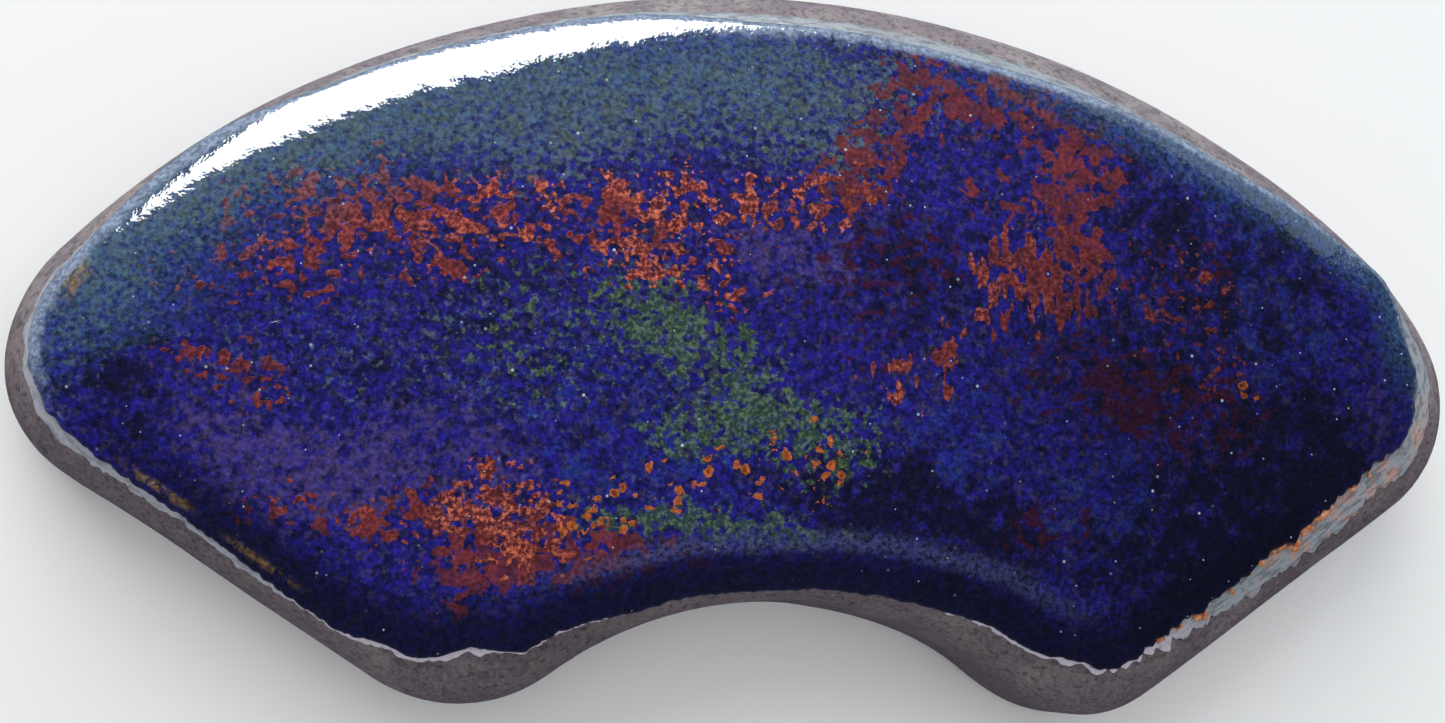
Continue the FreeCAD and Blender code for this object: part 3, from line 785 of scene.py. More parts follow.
@dataclass(frozen=True)
class BlueGlaze:
    """The glossy crystalline glaze and all that blooms in it."""

    night: Colour = srgb(9, 8, 32)
    navy: Colour = srgb(17, 15, 72)
    ultramarine: Colour = srgb(34, 28, 138)
    bright_blue: Colour = srgb(32, 50, 134)
    mist: Colour = srgb(74, 70, 76)
    haze: Colour = srgb(82, 106, 116)
    haze_green: Colour = srgb(92, 108, 88)
    lavender: Colour = srgb(88, 72, 124)
    brick: Colour = srgb(118, 46, 40)
    ember: Colour = srgb(196, 104, 72)
    russet: Colour = srgb(92, 38, 44)
    orange: Colour = srgb(176, 94, 44)
    scorch: Colour = srgb(92, 40, 26)
    maroon: Colour = srgb(60, 16, 36)
    moss: Colour = srgb(58, 84, 48)
    moss_light: Colour = srgb(92, 114, 60)
    # Colour of sea blue and of the painted sky reflection at the rim.
    sea_and_reflection: Colour = srgb(58, 96, 118)
    # Colour of the painted slate reflection by the notch.
    slate_reflection: Colour = srgb(72, 78, 122)
    gold: Colour = srgb(148, 116, 48)
    # Colour of thin glaze and of the painted reflection at the back rim.
    thin_and_reflection: Colour = srgb(138, 154, 178)
    spark: Colour = srgb(206, 228, 238)

    def ground(self, box: Palette) -> Socket:
        """The blue itself: ultramarine clots in a darker, purplish navy."""
        clots = box.noise(2.4, 4.0, 0.62, warp=0.3)
        colour = box.mix(box.span(clots, 0.36, 0.62), self.navy, self.ultramarine)
        bright = box.flakes(
            box.painted(Bloom.BRIGHT.value), box.noise(1.3, 3.0, 0.65, (3.0, 9.0, 2.0)), 0.05
        )
        colour = box.lay(colour, self.bright_blue, bright, 0.75)
        mist = box.span(box.noise(2.8, 3.0, 0.6, (1.0, 4.0, 8.0)), 0.50, 0.64)
        colour = box.lay(colour, self.mist, mist, 0.42)
        deep = box.flakes(
            box.painted(Bloom.DEEP.value), box.noise(1.1, 3.0, 0.65, (7.0, 1.0, 4.0)), 0.12,
            common=0.40,
        )
        colour = box.lay(colour, self.night, deep, 0.88)
        pepper = box.span(box.noise(4.2, 2.0, 0.6, (5.0, 5.0, 0.0)), 0.50, 0.66)
        return box.lay(colour, self.night, pepper, 0.58)

    def veils(self, box: Palette, colour: Socket, grain: Socket) -> Socket:
        """Granular hazes over the blue: teal, partly painted reflection below the window's
        highlight; lavender and moss green.
        """
        granules = box.noise(3.2, 3.0, 0.6, (1.0, 6.0, 9.0))
        tint = box.mix(box.span(box.noise(1.0), 0.42, 0.6), self.haze, self.haze_green)
        # Teal granules, with painted reflection where they crowd under the highlight.
        teal_and_reflection = box.flakes(box.painted(Bloom.TEAL_AND_REFLECTION.value), granules, 0.10, common=0.46)
        colour = box.lay(colour, tint, teal_and_reflection, 0.66)
        lilac = box.flakes(
            box.painted(Bloom.LAVENDER.value), box.noise(2.2, 3.0, 0.65, (8.0, 2.0, 3.0)), 0.10
        )
        colour = box.lay(colour, self.lavender, lilac, 0.45)
        moss = box.flakes(
            box.painted(Bloom.GREEN.value), box.noise(2.4, 2.0, 0.6, (2.0, 2.0, 8.0)), 0.06,
            common=0.42,
        )
        green = box.mix(box.span(grain, 0.46, 0.64), self.moss, self.moss_light)
        return box.lay(colour, green, moss, 0.70)

    def metals(self, box: Palette, colour: Socket, grain: Socket) -> tuple[Socket, Socket]:
        """Crisp flakes of maroon, copper and orange, with glowing tips.

        Returns:
            The colour with the flakes laid in, and where they are.
        """
        maroon = box.flakes(
            box.painted(Bloom.MAROON.value), box.noise(1.7, 3.0, 0.65, (6.0, 3.0, 5.0), warp=0.4),
            0.04,
        )
        colour = box.lay(colour, self.maroon, maroon, 0.85)
        sheet = box.flakes(
            box.painted(Bloom.SHEET.value), box.noise(1.5, 2.5, 0.6, (1.0, 1.0, 6.0), warp=0.5),
            0.02, common=0.44,
        )
        tone = box.span(box.noise(0.8, 3.0, 0.6, (9.0, 9.0, 1.0)), 0.42, 0.6)
        rust = box.mix(tone, self.russet, self.brick)
        colour = box.lay(colour, rust, sheet, 0.88)
        worms = box.noise(1.6, 1.0, 0.45, (4.0, 7.0, 1.0), warp=0.35)
        copper = box.flakes(box.painted(Bloom.COPPER.value), worms)
        dashes = box.flakes(
            box.painted(Bloom.DASH.value),
            box.noise(1.5, 1.0, 0.5, (2.0, 6.0, 3.0), stretch=(1.6, 0.62, 1.0)),
        )
        crumbs = box.flakes(
            box.painted(Bloom.COPPER.value), box.noise(3.0, 1.0, 0.45, (5.0, 2.0, 9.0)),
            common=0.575,
        )
        metal_seen = box.math("MAXIMUM", box.math("MAXIMUM", copper, crumbs), dashes)
        lit = box.span(box.noise(0.6, 2.0, 0.5, (3.0, 7.0, 2.0)), 0.40, 0.58, (0.20, 1.0))
        tips = box.math("MULTIPLY", box.span(grain, 0.42, 0.68), box.painted("glow"))
        tips = box.math("MULTIPLY", tips, lit)
        metal = box.mix(tips, box.mix(tone, self.brick, self.russet), self.ember)
        colour = box.lay(colour, metal, metal_seen, 0.93)
        rings, core = self.rings(box)
        colour = box.mix(rings, colour, self.orange)
        colour = box.lay(colour, self.scorch, core, 0.7)
        return colour, box.math("MAXIMUM", metal_seen, rings)

    def rings(self, box: Palette) -> tuple[Socket, Socket]:
        """Orange spots, each a ragged ring round a scorched middle."""
        distance, tint = box.cells(1.75, (3.0, 4.0, 4.0))
        ragged = box.math("MULTIPLY_ADD", box.noise(2.7, 3.0, 0.6), 1.1)
        box.feed(ragged.node.inputs[2], box.math("SUBTRACT", distance, 0.55))
        split = box.tree.nodes.new("ShaderNodeSeparateColor")
        box.feed(split.inputs[0], tint)
        chosen = box.math("LESS_THAN", split.outputs[0], box.painted(Bloom.ORANGE.value))
        spot = box.math("MULTIPLY", box.span(ragged, 0.37, 0.31), chosen)
        core = box.math("MULTIPLY", box.span(ragged, 0.15, 0.06), chosen)
        return spot, core

    def sparks(self, box: Palette, colour: Socket) -> Socket:
        """Tiny pale crystals, scattered thinly."""
        for per_mm, size, rare in ((1.7, 0.095, 0.45), (1.0, 0.085, 0.42)):
            distance, tint = box.cells(per_mm, (per_mm, 2.0, 5.0))
            split = box.tree.nodes.new("ShaderNodeSeparateColor")
            box.feed(split.inputs[0], tint)
            chosen = box.math("GREATER_THAN", split.outputs[0], rare)
            glow = box.math("MULTIPLY", split.outputs[1], 0.8)
            dot = box.math("MULTIPLY", box.span(distance, size, size * 0.4), chosen)
            colour = box.mix(box.math("MULTIPLY", dot, glow), colour, self.spark)
        return colour

    def rim(self, box: Palette, colour: Socket, grain: Socket) -> Socket:
        """What the glaze does at its rim: painted shade on the front shoulders, a painted slate
        reflection by the notch, sea blue with painted reflection along the top, gold, and thinning
        with painted reflection.
        """
        # Painted shade: the front shoulders darkened near the glaze's edge.
        colour = box.lay(colour, self.night, box.painted("dark_and_shade"), 0.85)
        # Painted reflection: a slate band parallel to the notch's edge.
        slate_reflection = box.math("MULTIPLY", box.painted("slate_reflection"), box.span(grain, 0.25, 0.6))
        colour = box.lay(colour, self.slate_reflection, slate_reflection, 0.6)
        # Sea blue with painted reflection: a pale sky band along the top right, and glow beside
        # the window's highlight on the upper left.
        haze = box.math("MULTIPLY", box.painted("sea_and_reflection"), box.span(grain, 0.20, 0.62))
        colour = box.lay(colour, self.sea_and_reflection, haze, 0.75)
        wisps = box.noise(1.9, 3.0, 0.65, (5.0, 8.0, 2.0), warp=0.5)
        gold = box.math("MULTIPLY", box.painted("gold"), box.span(wisps, 0.38, 0.62))
        colour = box.mix(gold, colour, self.gold)
        # Thinning with painted reflection: a pale band between the highlight and the clay at the
        # back rim.
        torn = box.math("MULTIPLY_ADD", box.math("SUBTRACT", wisps, 0.5), 1.3)
        box.feed(torn.node.inputs[2], box.painted("thin_and_reflection"))
        return box.mix(box.span(torn, 0.25, 1.0), colour, self.thin_and_reflection)

    def material(self) -> bpy.types.Material:
        """Makes the blue glaze's material."""
        box = Palette("blue_crystal_glaze")
        grain = box.noise(5.2, 3.0, 0.65)
        colour = self.veils(box, self.ground(box), grain)
        colour, shine = self.metals(box, colour, grain)
        colour = self.rim(box, colour, grain)
        shade = box.span(grain, 0.36, 0.66, (0.62, 1.30))
        shade = box.math("MULTIPLY", shade, box.painted("light"))
        colour = self.sparks(box, box.mix(1.0, colour, shade, "MULTIPLY"))
        box.feed(box.shader.inputs["Base Color"], colour)
        box.feed(box.shader.inputs["Metallic"], box.math("MULTIPLY", shine, 0.20))
        box.feed(box.shader.inputs["Roughness"], box.span(grain, 0.3, 0.7, (0.34, 0.50)))
        swell = box.bump(box.noise(1.3, 1.0, 0.5, (2.0, 3.0, 4.0)), 0.016)
        fine = box.bump(box.noise(4.6, 1.0, 0.5), 0.0105, swell)
        flakes = box.bump(shine, 0.012, fine)
        box.feed(box.shader.inputs["Normal"], flakes)
        box.feed(box.shader.inputs["Coat Normal"], fine)
        box.shader.inputs["Specular IOR Level"].default_value = 0.05
        box.shader.inputs["Coat Weight"].default_value = 1.0
        box.shader.inputs["Coat Roughness"].default_value = 0.05
        box.shader.inputs["Coat IOR"].default_value = 1.52
        return box.material


@dataclass(frozen=True)
class CopperGrain:
    """Reduced copper: dull, orange, half metallic."""

    copper: Colour = srgb(238, 178, 134)
    ember: Colour = srgb(204, 122, 80)

    def material(self) -> bpy.types.Material:
        """Makes the copper's material."""
        box = Palette("reduced_copper")
        clouds = box.noise(4.0, 2.0, 0.6)
        colour = box.mix(box.span(clouds, 0.4, 0.62), self.ember, self.copper)
        box.feed(box.shader.inputs["Base Color"], colour)
        box.feed(box.shader.inputs["Roughness"], box.span(clouds, 0.3, 0.7, (0.55, 0.35)))
        box.feed(box.shader.inputs["Normal"], box.bump(box.noise(9.0, 2.0, 0.6), 0.02))
        box.shader.inputs["Metallic"].default_value = 0.3
        return box.material


# ---------------------------------------------------------------- the slide's pieces


@dataclass
class ClaySlab:
    """The fired clay body."""

    surface: SlabSurface
    edges: GlazeEdges
    column_count: int = 600
    crown_rows: int = 14
    shoulder_rows: int = 26
    wall_rows: int = 18
    back_edge_rows: int = 9
    back_rows: int = 16
    dent: float = 0.05
    grain: float = 0.018
    dish: float = 0.05
    back_grain: float = 0.02

    def worn(self, point: Vector, outward: Vector) -> Vector:
        """Draws a point in a little, for a hand-smoothed, slightly gritty surface."""
        lumps = 0.5 + 0.5 * ring_noise(point, 7.0, Seeds.SLAB.value, 2)
        grit = 0.5 + 0.5 * ring_noise(point, 0.55, Seeds.SLAB.value + 3, 2)
        return point - outward * (self.dent * lumps + self.grain * grit)

    def crown(self, share: float, column: Column) -> Vector:
        """A point on the crowned face, a share of the way in to the spine."""
        return self.surface.on_crown(column, share, 0.0)

    def shoulder(self, share: float, column: Column) -> Vector:
        """A point on the round shoulder, worn only where it's bare."""
        radius = self.surface.shoulder_radius
        reach = share * radius * (math.pi / 2 - column.lean)
        bare = smooth(reach, column.edge - 0.2, column.edge + 0.2)
        point = self.surface.on_shoulder(column, reach, 0.0)
        turn = column.lean + reach / radius
        flat = column.normal * math.sin(turn)
        return point.lerp(self.worn(point, Vector((flat.x, flat.y, math.cos(turn)))), bare)

    def wall(self, share: float, column: Column) -> Vector:
        """A point on the upright wall."""
        foot = self.surface.back_edge_radius
        height = column.centre_height + (foot - column.centre_height) * share
        plan = column.centre + self.surface.shoulder_radius * column.normal
        return self.worn(Vector((plan.x, plan.y, height)), Vector((*column.normal, 0)))

    def back_edge(self, turn: float, column: Column) -> Vector:
        """A point on the softened back edge, which keeps its height."""
        radius = self.surface.back_edge_radius
        across = self.surface.shoulder_radius - radius + radius * math.cos(turn)
        plan = column.centre + across * column.normal
        point = Vector((plan.x, plan.y, radius - radius * math.sin(turn)))
        worn = self.worn(point, Vector((*(column.normal * math.cos(turn)), 0)))
        return Vector((worn.x, worn.y, point.z))

    def back(self, share: float, column: Column) -> Vector:
        """A point on the back, dished by a few hundredths so that it rests on its rim."""
        inset = self.surface.shoulder_radius - self.surface.back_edge_radius
        plan = (column.centre + inset * column.normal).lerp(column.spine, share)
        grit = 0.5 + 0.5 * ring_noise(Vector((*plan, 0)), 0.9, Seeds.SLAB.value + 7, 2)
        height = self.dish * smooth(share, 0.0, 0.6)
        height += self.back_grain * grit * smooth(share, 0.0, 0.15)
        return Vector((plan.x, plan.y, height))

    def rows(self) -> list[Row]:
        """The rows from the crown's spine, over the shoulder, to the middle of the back."""
        rows: list[Row] = []
        for index in range(self.crown_rows):
            rows.append(partial(self.crown, 1 - index / self.crown_rows))
        for index in range(self.shoulder_rows):
            rows.append(partial(self.shoulder, index / self.shoulder_rows))
        for index in range(self.wall_rows):
            rows.append(partial(self.wall, index / self.wall_rows))
        for index in range(self.back_edge_rows + 1):
            rows.append(partial(self.back_edge, math.pi / 2 * index / self.back_edge_rows))
        for index in range(1, self.back_rows + 1):
            rows.append(partial(self.back, index / self.back_rows))
        return rows

    def smoke_and_shade(self, point: Vector) -> float:
        """How dark the clay is painted: real smoke in random clouds, plus painted shade, darkest
        in front, by the notch, and lower down.
        """
        front = smooth(point.y, 8.0, -8.0)
        low = smooth(point.z, 9.5, 3.0)
        clouds = 0.5 + 0.5 * ring_noise(point, 5.0, Seeds.SLAB.value + 11, 3)
        return min(max(0.75 * front + 0.25 * low + 0.5 * (clouds - 0.5), 0.0), 1.0)

    def wear(self, point: Vector) -> float:
        """Where handling and resting have rubbed the clay light: the back's rim and patches."""
        if point.z > 1.5:
            return 0.0
        rubbed = smooth(ring_noise(point, 4.0, Seeds.SLAB.value + 17, 3), 0.05, 0.5)
        return rubbed * smooth(point.z, 1.4, 0.2)

    def build(self) -> bpy.types.Object:
        """Builds, dresses and names the clay slab."""
        columns = self.surface.columns(self.column_count, self.edges.pale)
        mesh = grid_shell(columns, self.rows())
        piece = finish_piece(mesh, "clay_slab", SmokedClay().material())
        paint(piece, "smoke_and_shade", self.smoke_and_shade)
        paint(piece, "wear", self.wear)
        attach(piece, "root")
        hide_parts("clay_body")
        return piece


@dataclass
class Coat:
    """A fired coat: a shell that follows the slab, with a rolled, wandering edge."""

    surface: SlabSurface
    name: str
    node: str
    slot: str
    base: float
    build_up: float
    roll: float
    edge: Callable[[Column], float]
    column_count: int
    roll_rows: int
    near_rows: int
    near_width: float
    far_rows: int
    under_rows: int
    ripple: float
    tuck: float = 0.04

    def rippled(self, point: Vector, away: float) -> Vector:
        """Lifts and sinks the glaze a little: slow swells and the start of an orange peel."""
        swell = ring_noise(point, 3.6, Seeds.BLUE_EDGE.value + 21, 2)
        peel = ring_noise(point, 1.1, Seeds.BLUE_EDGE.value + 27, 2)
        height = self.ripple * (swell + 0.45 * peel) * smooth(away, 0.0, self.roll)
        return point + Vector((0, 0, height))

    def near(self, away: float, build: float, column: Column) -> Vector:
        """A point that keeps its distance in from the coat's edge."""
        return self.rippled(self.surface.at(column, column.edge - away, build), away)

    def inner(self, share: float, away: float, build: float, column: Column) -> Vector:
        """A point a share of the way to the spine, from a distance in from the edge."""
        first = column.edge - away
        last = -(column.start - column.spine).length
        reach = first + (last - first) * share
        return self.rippled(self.surface.at(column, reach, build), away)

    def rows(self) -> list[Row]:
        """The rows from the top's spine, out over the rolled edge, and back underneath."""
        top = self.base + self.build_up
        rows: list[Row] = []
        for index in range(self.far_rows):
            rows.append(partial(self.inner, 1 - index / self.far_rows, self.near_width, top))
        for index in range(self.near_rows):
            away = self.near_width + (self.roll - self.near_width) * index / self.near_rows
            rows.append(partial(self.near, away, top))
        for index in range(self.roll_rows + 1):
            turn = math.pi / 2 * index / self.roll_rows
            away = self.roll * (1 - math.sin(turn))
            build = self.base + self.build_up * math.cos(turn)
            rows.append(partial(self.near, away, build))
        for index in range(self.under_rows + 1):
            rows.append(partial(self.inner, index / self.under_rows, self.tuck, self.base))
        return rows

    def build(self, material: bpy.types.Material) -> bpy.types.Object:
        """Builds the coat as a closed shell and places it on its body."""
        mesh = grid_shell(self.surface.columns(self.column_count, self.edge), self.rows())
        piece = finish_piece(mesh, self.name, material)
        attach(piece, "root")
        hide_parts(self.node)
        return piece


@dataclass
class GlazeCoats:
    """The pale under-glaze and the blue glaze over it."""

    surface: SlabSurface
    edges: GlazeEdges
    pale_build: float = 0.16
    blue_build: float = 0.55
    mean_lean: float = 0.14
    sample_count: int = 624
    sampled: list[tuple[float, Vector, Vector]] = field(init=False, default_factory=list)
    tree: kdtree.KDTree = field(init=False)

    def __post_init__(self) -> None:
        """Samples the outline, so that masks can be looked up by girth."""
        half = self.surface.outline.half_girth
        self.tree = kdtree.KDTree(self.sample_count)
        for index in range(self.sample_count):
            girth = -half + 2 * half * index / self.sample_count
            point, normal = self.surface.outline.at(girth)
            self.sampled.append((girth, point, normal))
            self.tree.insert((*point, 0), index)
        self.tree.balance()

    def girth_of(self, point: Vector) -> tuple[float, float]:
        """The girth nearest a point and the plan distance in from the outline there."""
        _, index, _ = self.tree.find((point.x, point.y, 0))
        girth, edge, normal = self.sampled[index]
        return girth, (edge - point.xy).dot(normal)

    @staticmethod
    def rim_values(girth: float, away: float) -> dict[str, float]:
        """What the blue glaze does near its edge, painted shade and painted reflections among it.

        Args:
            girth: where on the outline.
            away: how far in from the glaze's edge.

        Returns:
            The strength of each effect, by the name that the material reads it under.
        """
        front = smooth(abs(girth), 42.0, 52.0)
        notch = smooth(girth, 64.0, 71.0) + smooth(girth, -67.0, -73.0)
        band = smooth(away, 3.1, 2.5) * smooth(away, 1.7, 2.2)
        spells = smooth(abs(girth + 48.2), 2.2, 0.4) + 0.8 * smooth(abs(girth + 53.2), 2.4, 0.4)
        streak = 0.85 * spells * smooth(abs(away - 0.30), 0.28, 0.05)
        glint = smooth(abs(girth + 35.0), 1.6, 0.4) * smooth(abs(away - 0.8), 0.8, 0.2)
        # Real thinning plus painted reflection of the pale surround, wider on the left below the
        # highlight.
        back = smooth(abs(girth), 48.0, 36.0)
        thinned = 1.3 if girth < 0 else 0.8
        # Sea blue with painted reflection: the right part stands for the sky's band, the left part
        # for glow round the highlight.
        right = smooth(girth, 4.0, 20.0) * smooth(girth, 42.0, 33.0) * smooth(away, 2.6, 0.3)
        left = smooth(girth, -44.0, -34.0) * smooth(girth, 6.0, -6.0) * smooth(away, 7.0, 1.5)
        return {
            # Painted shade on the front shoulders, near the glaze's edge.
            "dark_and_shade": front * smooth(away, 3.0, 0.9),
            # Painted reflection: a slate band a little in from the notch's edge.
            "slate_reflection": notch * band,
            "gold": max(streak, 0.8 * glint),
            "thin_and_reflection": back * smooth(away, thinned, 0.0),
            "sea_and_reflection": max(right, 0.75 * left),
        }

    def rim_masks(self, piece: bpy.types.Object) -> None:
        """Stores the strengths of the rim's effects on the blue glaze."""
        values = [self.rim_values(*place) for place in zip(*self.rim_places(piece))]
        for name in values[0]:
            store(piece, name, [value[name] for value in values])

    def rim_places(
        self, piece: bpy.types.Object, width: Sequence[tuple[float, float]] = ()
    ) -> tuple[list[float], list[float]]:
        """The girth of every vertex, and how far in from its coat's edge it lies.

        Args:
            piece: the coat.
            width: stations of the coat's width beyond the blue glaze, if it goes beyond.

        Returns:
            The girths and the distances, vertex by vertex.
        """
        half = self.surface.outline.half_girth
        girths, aways = [], []
        for vertex in piece.data.vertices:
            girth, inset = self.girth_of(vertex.co / MM)
            edge = Wander(BLUE_REACH, half).at(girth)
            beyond = Wander(width, half).at(girth) if width else 0.0
            girths.append(girth)
            aways.append(edge + beyond - self.reach_of(inset))
        return girths, aways

    def reach_of(self, inset: float) -> float:
        """The reach over the shoulder at a plan distance in from the outline."""
        radius = self.surface.shoulder_radius
        shoulder_depth = radius * (1 - math.sin(self.mean_lean))
        if inset >= shoulder_depth:
            return shoulder_depth - inset
        share = min(max(1 - inset / radius, -1.0), 1.0)
        return radius * (math.asin(share) - self.mean_lean)

    @staticmethod
    def cover(patches: Sequence[Patch], point: Vector) -> float:
        """The sum of some patches at a point, pulled about by slow noise."""
        x = point.x + 1.3 * ring_noise(point, 3.4, 3.0, 3)
        y = point.y + 1.0 * ring_noise(point, 3.0, 29.0, 3)
        return min(sum(patch.at(x, y) for patch in patches), 1.0)

    def blooms(self, piece: bpy.types.Object) -> None:
        """Paints the cover of each kind of bloom on the blue glaze."""
        for kind in Bloom:
            patches = [patch for patch in PATCHES if patch.kind is kind]
            paint(piece, kind.value, partial(self.cover, patches))

    @staticmethod
    def cool(point: Vector) -> float:
        """How grey-blue the pale coat is: fully at the right and the back, less at the left."""
        left = 0.7 * smooth(point.x, -17.0, -23.0)
        return max(smooth(point.x, 15.0, 20.0), smooth(point.y, 0.0, 5.0), left)

    @staticmethod
    def blush(point: Vector) -> float:
        """How much peach clouds the pale coat: only at the lower right."""
        return smooth(point.x, 18.0, 24.0) * smooth(point.y, 0.0, -4.0)

    @staticmethod
    def light(point: Vector) -> float:
        """How light the blue glaze is: darker towards the lower right."""
        return 1 - 0.42 * smooth(point.x, 1.0, 16.0) * smooth(point.y, 9.0, -3.0)

    @staticmethod
    def glow(point: Vector) -> float:
        """How brightly the copper glows: most in the middle and in the lower left splash."""
        middle = 0.25 + 0.65 * smooth(abs(point.x + 3.0), 17.0, 6.0)
        splash = smooth(math.hypot(point.x + 12.0, point.y + 8.0), 5.0, 2.0)
        return max(middle, splash)

    def build_pale(self) -> bpy.types.Object:
        """Builds and dresses the pale under-glaze."""
        coat = Coat(
            self.surface, name="pale_under_glaze", node="pale_glaze", slot="pale_glaze",
            base=0.0, build_up=self.pale_build, roll=0.14, edge=self.edges.pale,
            column_count=1400, roll_rows=5, near_rows=12, near_width=2.2, far_rows=8,
            under_rows=8, ripple=0.0,
        )
        pale = coat.build(PaleCoat().material())
        paint(pale, "cool", self.cool)
        paint(pale, "blush", self.blush)
        for name, values in zip(("girth", "away"), self.rim_places(pale, PALE_WIDTH)):
            store(pale, name, values)
        return pale

    def build_blue(self) -> bpy.types.Object:
        """Builds and dresses the blue glaze."""
        coat = Coat(
            self.surface, name="blue_crystal_glaze", node="blue_glaze", slot="blue_glaze",
            base=self.pale_build, build_up=self.blue_build, roll=0.45, edge=self.edges.blue,
            column_count=1080, roll_rows=8, near_rows=12, near_width=2.4, far_rows=44,
            under_rows=8, ripple=0.022,
        )
        blue = coat.build(BlueGlaze().material())
        self.blooms(blue)
        paint(blue, "light", self.light)
        paint(blue, "glow", self.glow)
        self.rim_masks(blue)
        return blue

    def build(self) -> list[bpy.types.Object]:
        """Builds both coats, the pale one first."""
        return [self.build_pale(), self.build_blue()]


@dataclass
class CopperBeads:
    """Crumbs of copper strung along the blue glaze's edge, on the right-hand side."""

    surface: SlabSurface
    edges: GlazeEdges
    clusters: tuple[tuple[float, float, int], ...] = (
        (59.0, 0.45, 4), (58.1, 0.35, 4), (56.6, 0.40, 4), (54.9, 0.15, 1), (54.0, 0.18, 2),
        (52.6, 0.75, 10), (51.3, 0.35, 5), (50.0, 0.75, 13), (48.9, 0.20, 2), (47.4, 0.22, 3),
        (46.4, 0.20, 2),
    )
    crumb: float = 0.17
    inset: float = 0.08
    scatter: float = 0.10
    standing: float = 0.38
    knob_size: float = 0.22
    knob_share: float = 0.28
    seed: int = 7

    def build(self) -> bpy.types.Object:
        """Builds the crumbs as lumpy little spheres, sunk part-way into the glaze."""
        dice = random.Random(self.seed)
        mesh = bmesh.new()
        for girth, spread, count in self.clusters:
            for _ in range(count):
                column = self.surface.column(girth + dice.uniform(-spread, spread))
                reach = self.edges.blue(column) - self.inset + dice.gauss(0.0, self.scatter)
                build = self.standing + dice.uniform(-0.05, 0.08)
                centre = self.surface.at(column, reach, build)
                size = self.crumb * dice.uniform(0.55, 1.25)
                turn = Matrix.Rotation(dice.uniform(0, math.tau), 4, "Z")
                stretch = Matrix.Diagonal((dice.uniform(0.9, 1.5), 1.0, 0.8, 1.0))
                place = Matrix.Translation(centre * MM) @ turn @ stretch
                lump = bmesh.ops.create_icosphere(
                    mesh, subdivisions=2, radius=size * MM, matrix=place
                )
                for vertex in lump["verts"]:
                    away = vertex.co - centre * MM
                    knob = ring_noise(vertex.co / MM, self.knob_size, Seeds.GRAINS.value, 2)
                    vertex.co = centre * MM + away * (1 + self.knob_share * knob)
        bmesh.ops.recalc_face_normals(mesh, faces=mesh.faces)
        piece = finish_piece(mesh, "copper_grains", CopperGrain().material())
        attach(piece, "root")
        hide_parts("copper_beads")
        return piece


# ---------------------------------------------------------------- the studio


@dataclass(frozen=True)
class Softbox:
    """One rectangular light, aimed at the slide."""

    name: str
    azimuth: float
    elevation: float
    distance: float
    width: float
    height: float
    power: float
    colour: Colour = (1.0, 1.0, 1.0)
    mirrored: bool = True
    lights: bool = True
    twist: float = 0.0

    def place(self) -> None:
        """Hangs the light; azimuth 0 is +Y, and positive is towards +X."""
        lean, lift = math.radians(self.azimuth), math.radians(self.elevation)
        towards = Vector(
            (math.sin(lean) * math.cos(lift), math.cos(lean) * math.cos(lift), math.sin(lift))
        )
        data = bpy.data.lights.new(self.name, "AREA")
        data.shape = "RECTANGLE"
        data.size, data.size_y = self.width, self.height
        data.energy = self.power
        data.color = self.colour
        lamp = bpy.data.objects.new(self.name, data)
        lamp.location = towards * self.distance
        twisted = Quaternion((0, 0, 1), math.radians(self.twist))
        lamp.rotation_euler = (towards.to_track_quat("Z", "Y") @ twisted).to_euler()
        lamp.visible_glossy = self.mirrored
        lamp.visible_diffuse = self.lights
        bpy.context.scene.collection.objects.link(lamp)


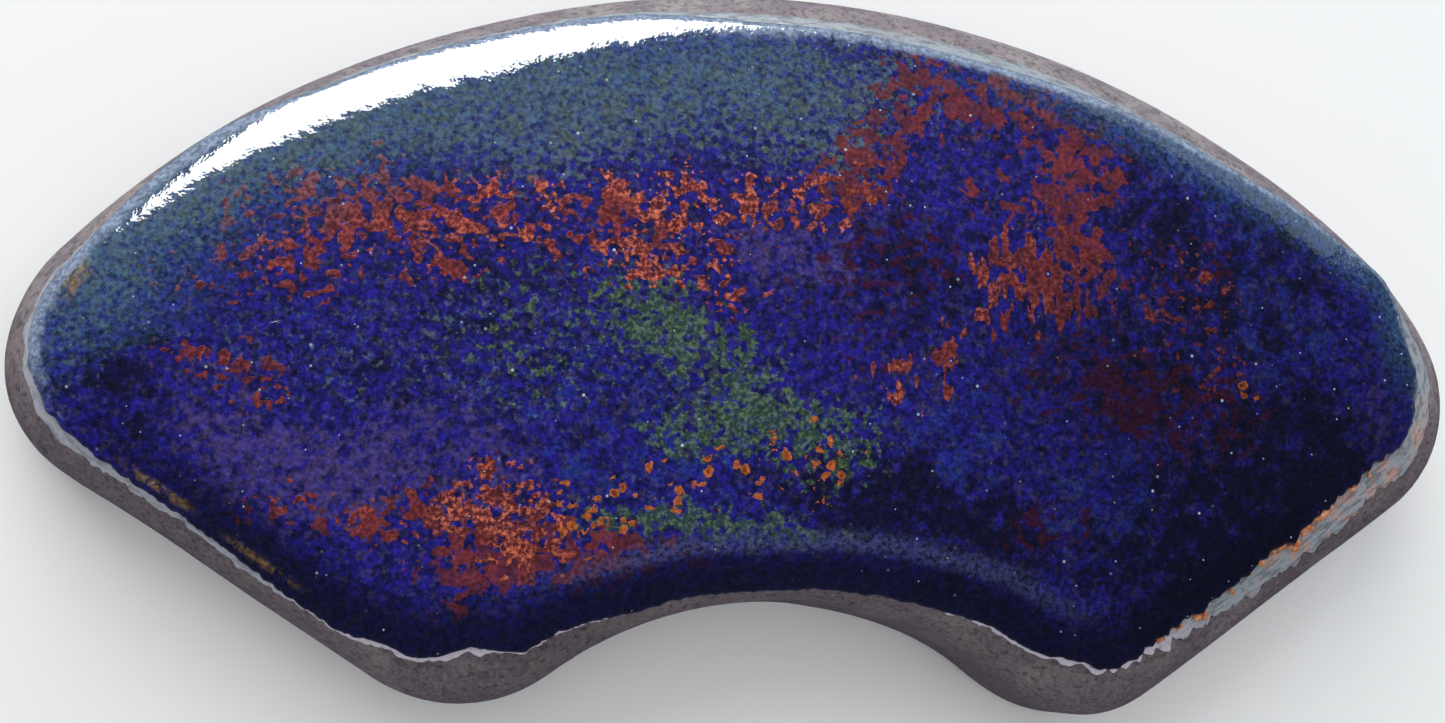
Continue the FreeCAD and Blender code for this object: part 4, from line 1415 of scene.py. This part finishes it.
@dataclass(frozen=True)
class Studio:
    """A pale floor, soft lights and a close camera above the slide."""

    boxes: tuple[Softbox, ...] = (
        Softbox(
            "window", azimuth=-17.0, elevation=28.5, distance=0.42, width=0.36, height=0.235,
            power=5.7, lights=False, twist=-40.0,
        ),
        Softbox(
            "sky", azimuth=42.0, elevation=24.0, distance=0.45, width=0.26, height=0.30,
            power=0.30, colour=(0.75, 0.88, 1.0),
        ),
        Softbox(
            "key", azimuth=-22.0, elevation=42.0, distance=0.45, width=0.36, height=0.36,
            power=1.1, mirrored=False,
        ),
        Softbox(
            "ceiling", azimuth=0.0, elevation=88.0, distance=0.60, width=0.60, height=0.60,
            power=0.95, mirrored=False,
        ),
    )
    target: tuple[float, float, float] = (-2.25, -0.66, 5.0)
    azimuth: float = -54.5
    elevation: float = 76.15
    roll: float = 0.81
    distance: float = 90.0
    lens: float = 50.84

    def floor(self) -> None:
        """Lays the floor just under the slide's back."""
        mesh = bmesh.new()
        bmesh.ops.create_grid(mesh, x_segments=1, y_segments=1, size=1.5)
        bmesh.ops.translate(mesh, verts=mesh.verts, vec=(0, 0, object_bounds()[0][2] - 0.02 * MM))
        box = Palette("pale_floor")
        box.shader.inputs["Base Color"].default_value = (0.93, 0.93, 0.93, 1.0)
        box.shader.inputs["Roughness"].default_value = 0.9
        box.shader.inputs["Specular IOR Level"].default_value = 0.0
        floor = finish_piece(mesh, "floor", box.material)
        floor.visible_glossy = False
        floor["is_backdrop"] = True

    def world(self) -> None:
        """A pale surround to look at, which the glaze mirrors only dimly."""
        world = bpy.data.worlds.new("surround")
        world.use_nodes = True
        tree = world.node_tree
        ray = tree.nodes.new("ShaderNodeLightPath")
        shown = tree.nodes["Background"]
        shown.inputs["Color"].default_value = (0.42, 0.43, 0.44, 1.0)
        for kind, colour in (
            ("Is Camera Ray", (0.86, 0.86, 0.87)), ("Is Glossy Ray", (0.06, 0.07, 0.12))
        ):
            other = tree.nodes.new("ShaderNodeBackground")
            other.inputs["Color"].default_value = (*colour, 1.0)
            blend = tree.nodes.new("ShaderNodeMixShader")
            tree.links.new(ray.outputs[kind], blend.inputs[0])
            tree.links.new(shown.outputs[0], blend.inputs[1])
            tree.links.new(other.outputs[0], blend.inputs[2])
            shown = blend
        tree.links.new(shown.outputs[0], tree.nodes["World Output"].inputs["Surface"])
        bpy.context.scene.world = world

    def camera(self) -> None:
        """Sets the camera close above the slide, a little to its lower left."""
        lean, lift, roll = (math.radians(a) for a in (self.azimuth, self.elevation, self.roll))
        back = Vector(
            (math.sin(lean) * math.cos(lift), -math.cos(lean) * math.cos(lift), math.sin(lift))
        )
        right = (-back).cross(Vector((0, 1, 0))).normalized()
        up = right.cross(-back)
        x_axis = math.cos(roll) * right + math.sin(roll) * up
        y_axis = math.cos(roll) * up - math.sin(roll) * right
        data = bpy.data.cameras.new("camera")
        data.lens = self.lens
        data.clip_start = 5 * MM
        camera = bpy.data.objects.new("camera", data)
        turn = Matrix((x_axis, y_axis, back)).transposed().to_4x4()
        spot = Vector(self.target) * MM + back * self.distance * MM
        camera.matrix_world = Matrix.Translation(spot) @ turn
        bpy.context.scene.collection.objects.link(camera)
        bpy.context.scene.camera = camera

    def build(self) -> None:
        """Sets up the floor, the lights and the camera."""
        self.floor()
        self.world()
        for box in self.boxes:
            box.place()
        self.camera()
        bpy.context.scene.view_settings.view_transform = "Standard"


def main() -> None:
    """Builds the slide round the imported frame."""
    logging.basicConfig(level=logging.INFO, format="%(message)s")
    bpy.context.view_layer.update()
    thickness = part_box("clay_body")[1][2] / MM
    surface = SlabSurface(thickness)
    edges = GlazeEdges(surface)
    pieces = [ClaySlab(surface, edges).build()]
    pieces += GlazeCoats(surface, edges).build()
    pieces.append(CopperBeads(surface, edges).build())
    for piece in pieces:
        LOG.info("%s: %d faces", piece.name, len(piece.data.polygons))
    Studio().build()


if __name__ == "__main__":
    main()
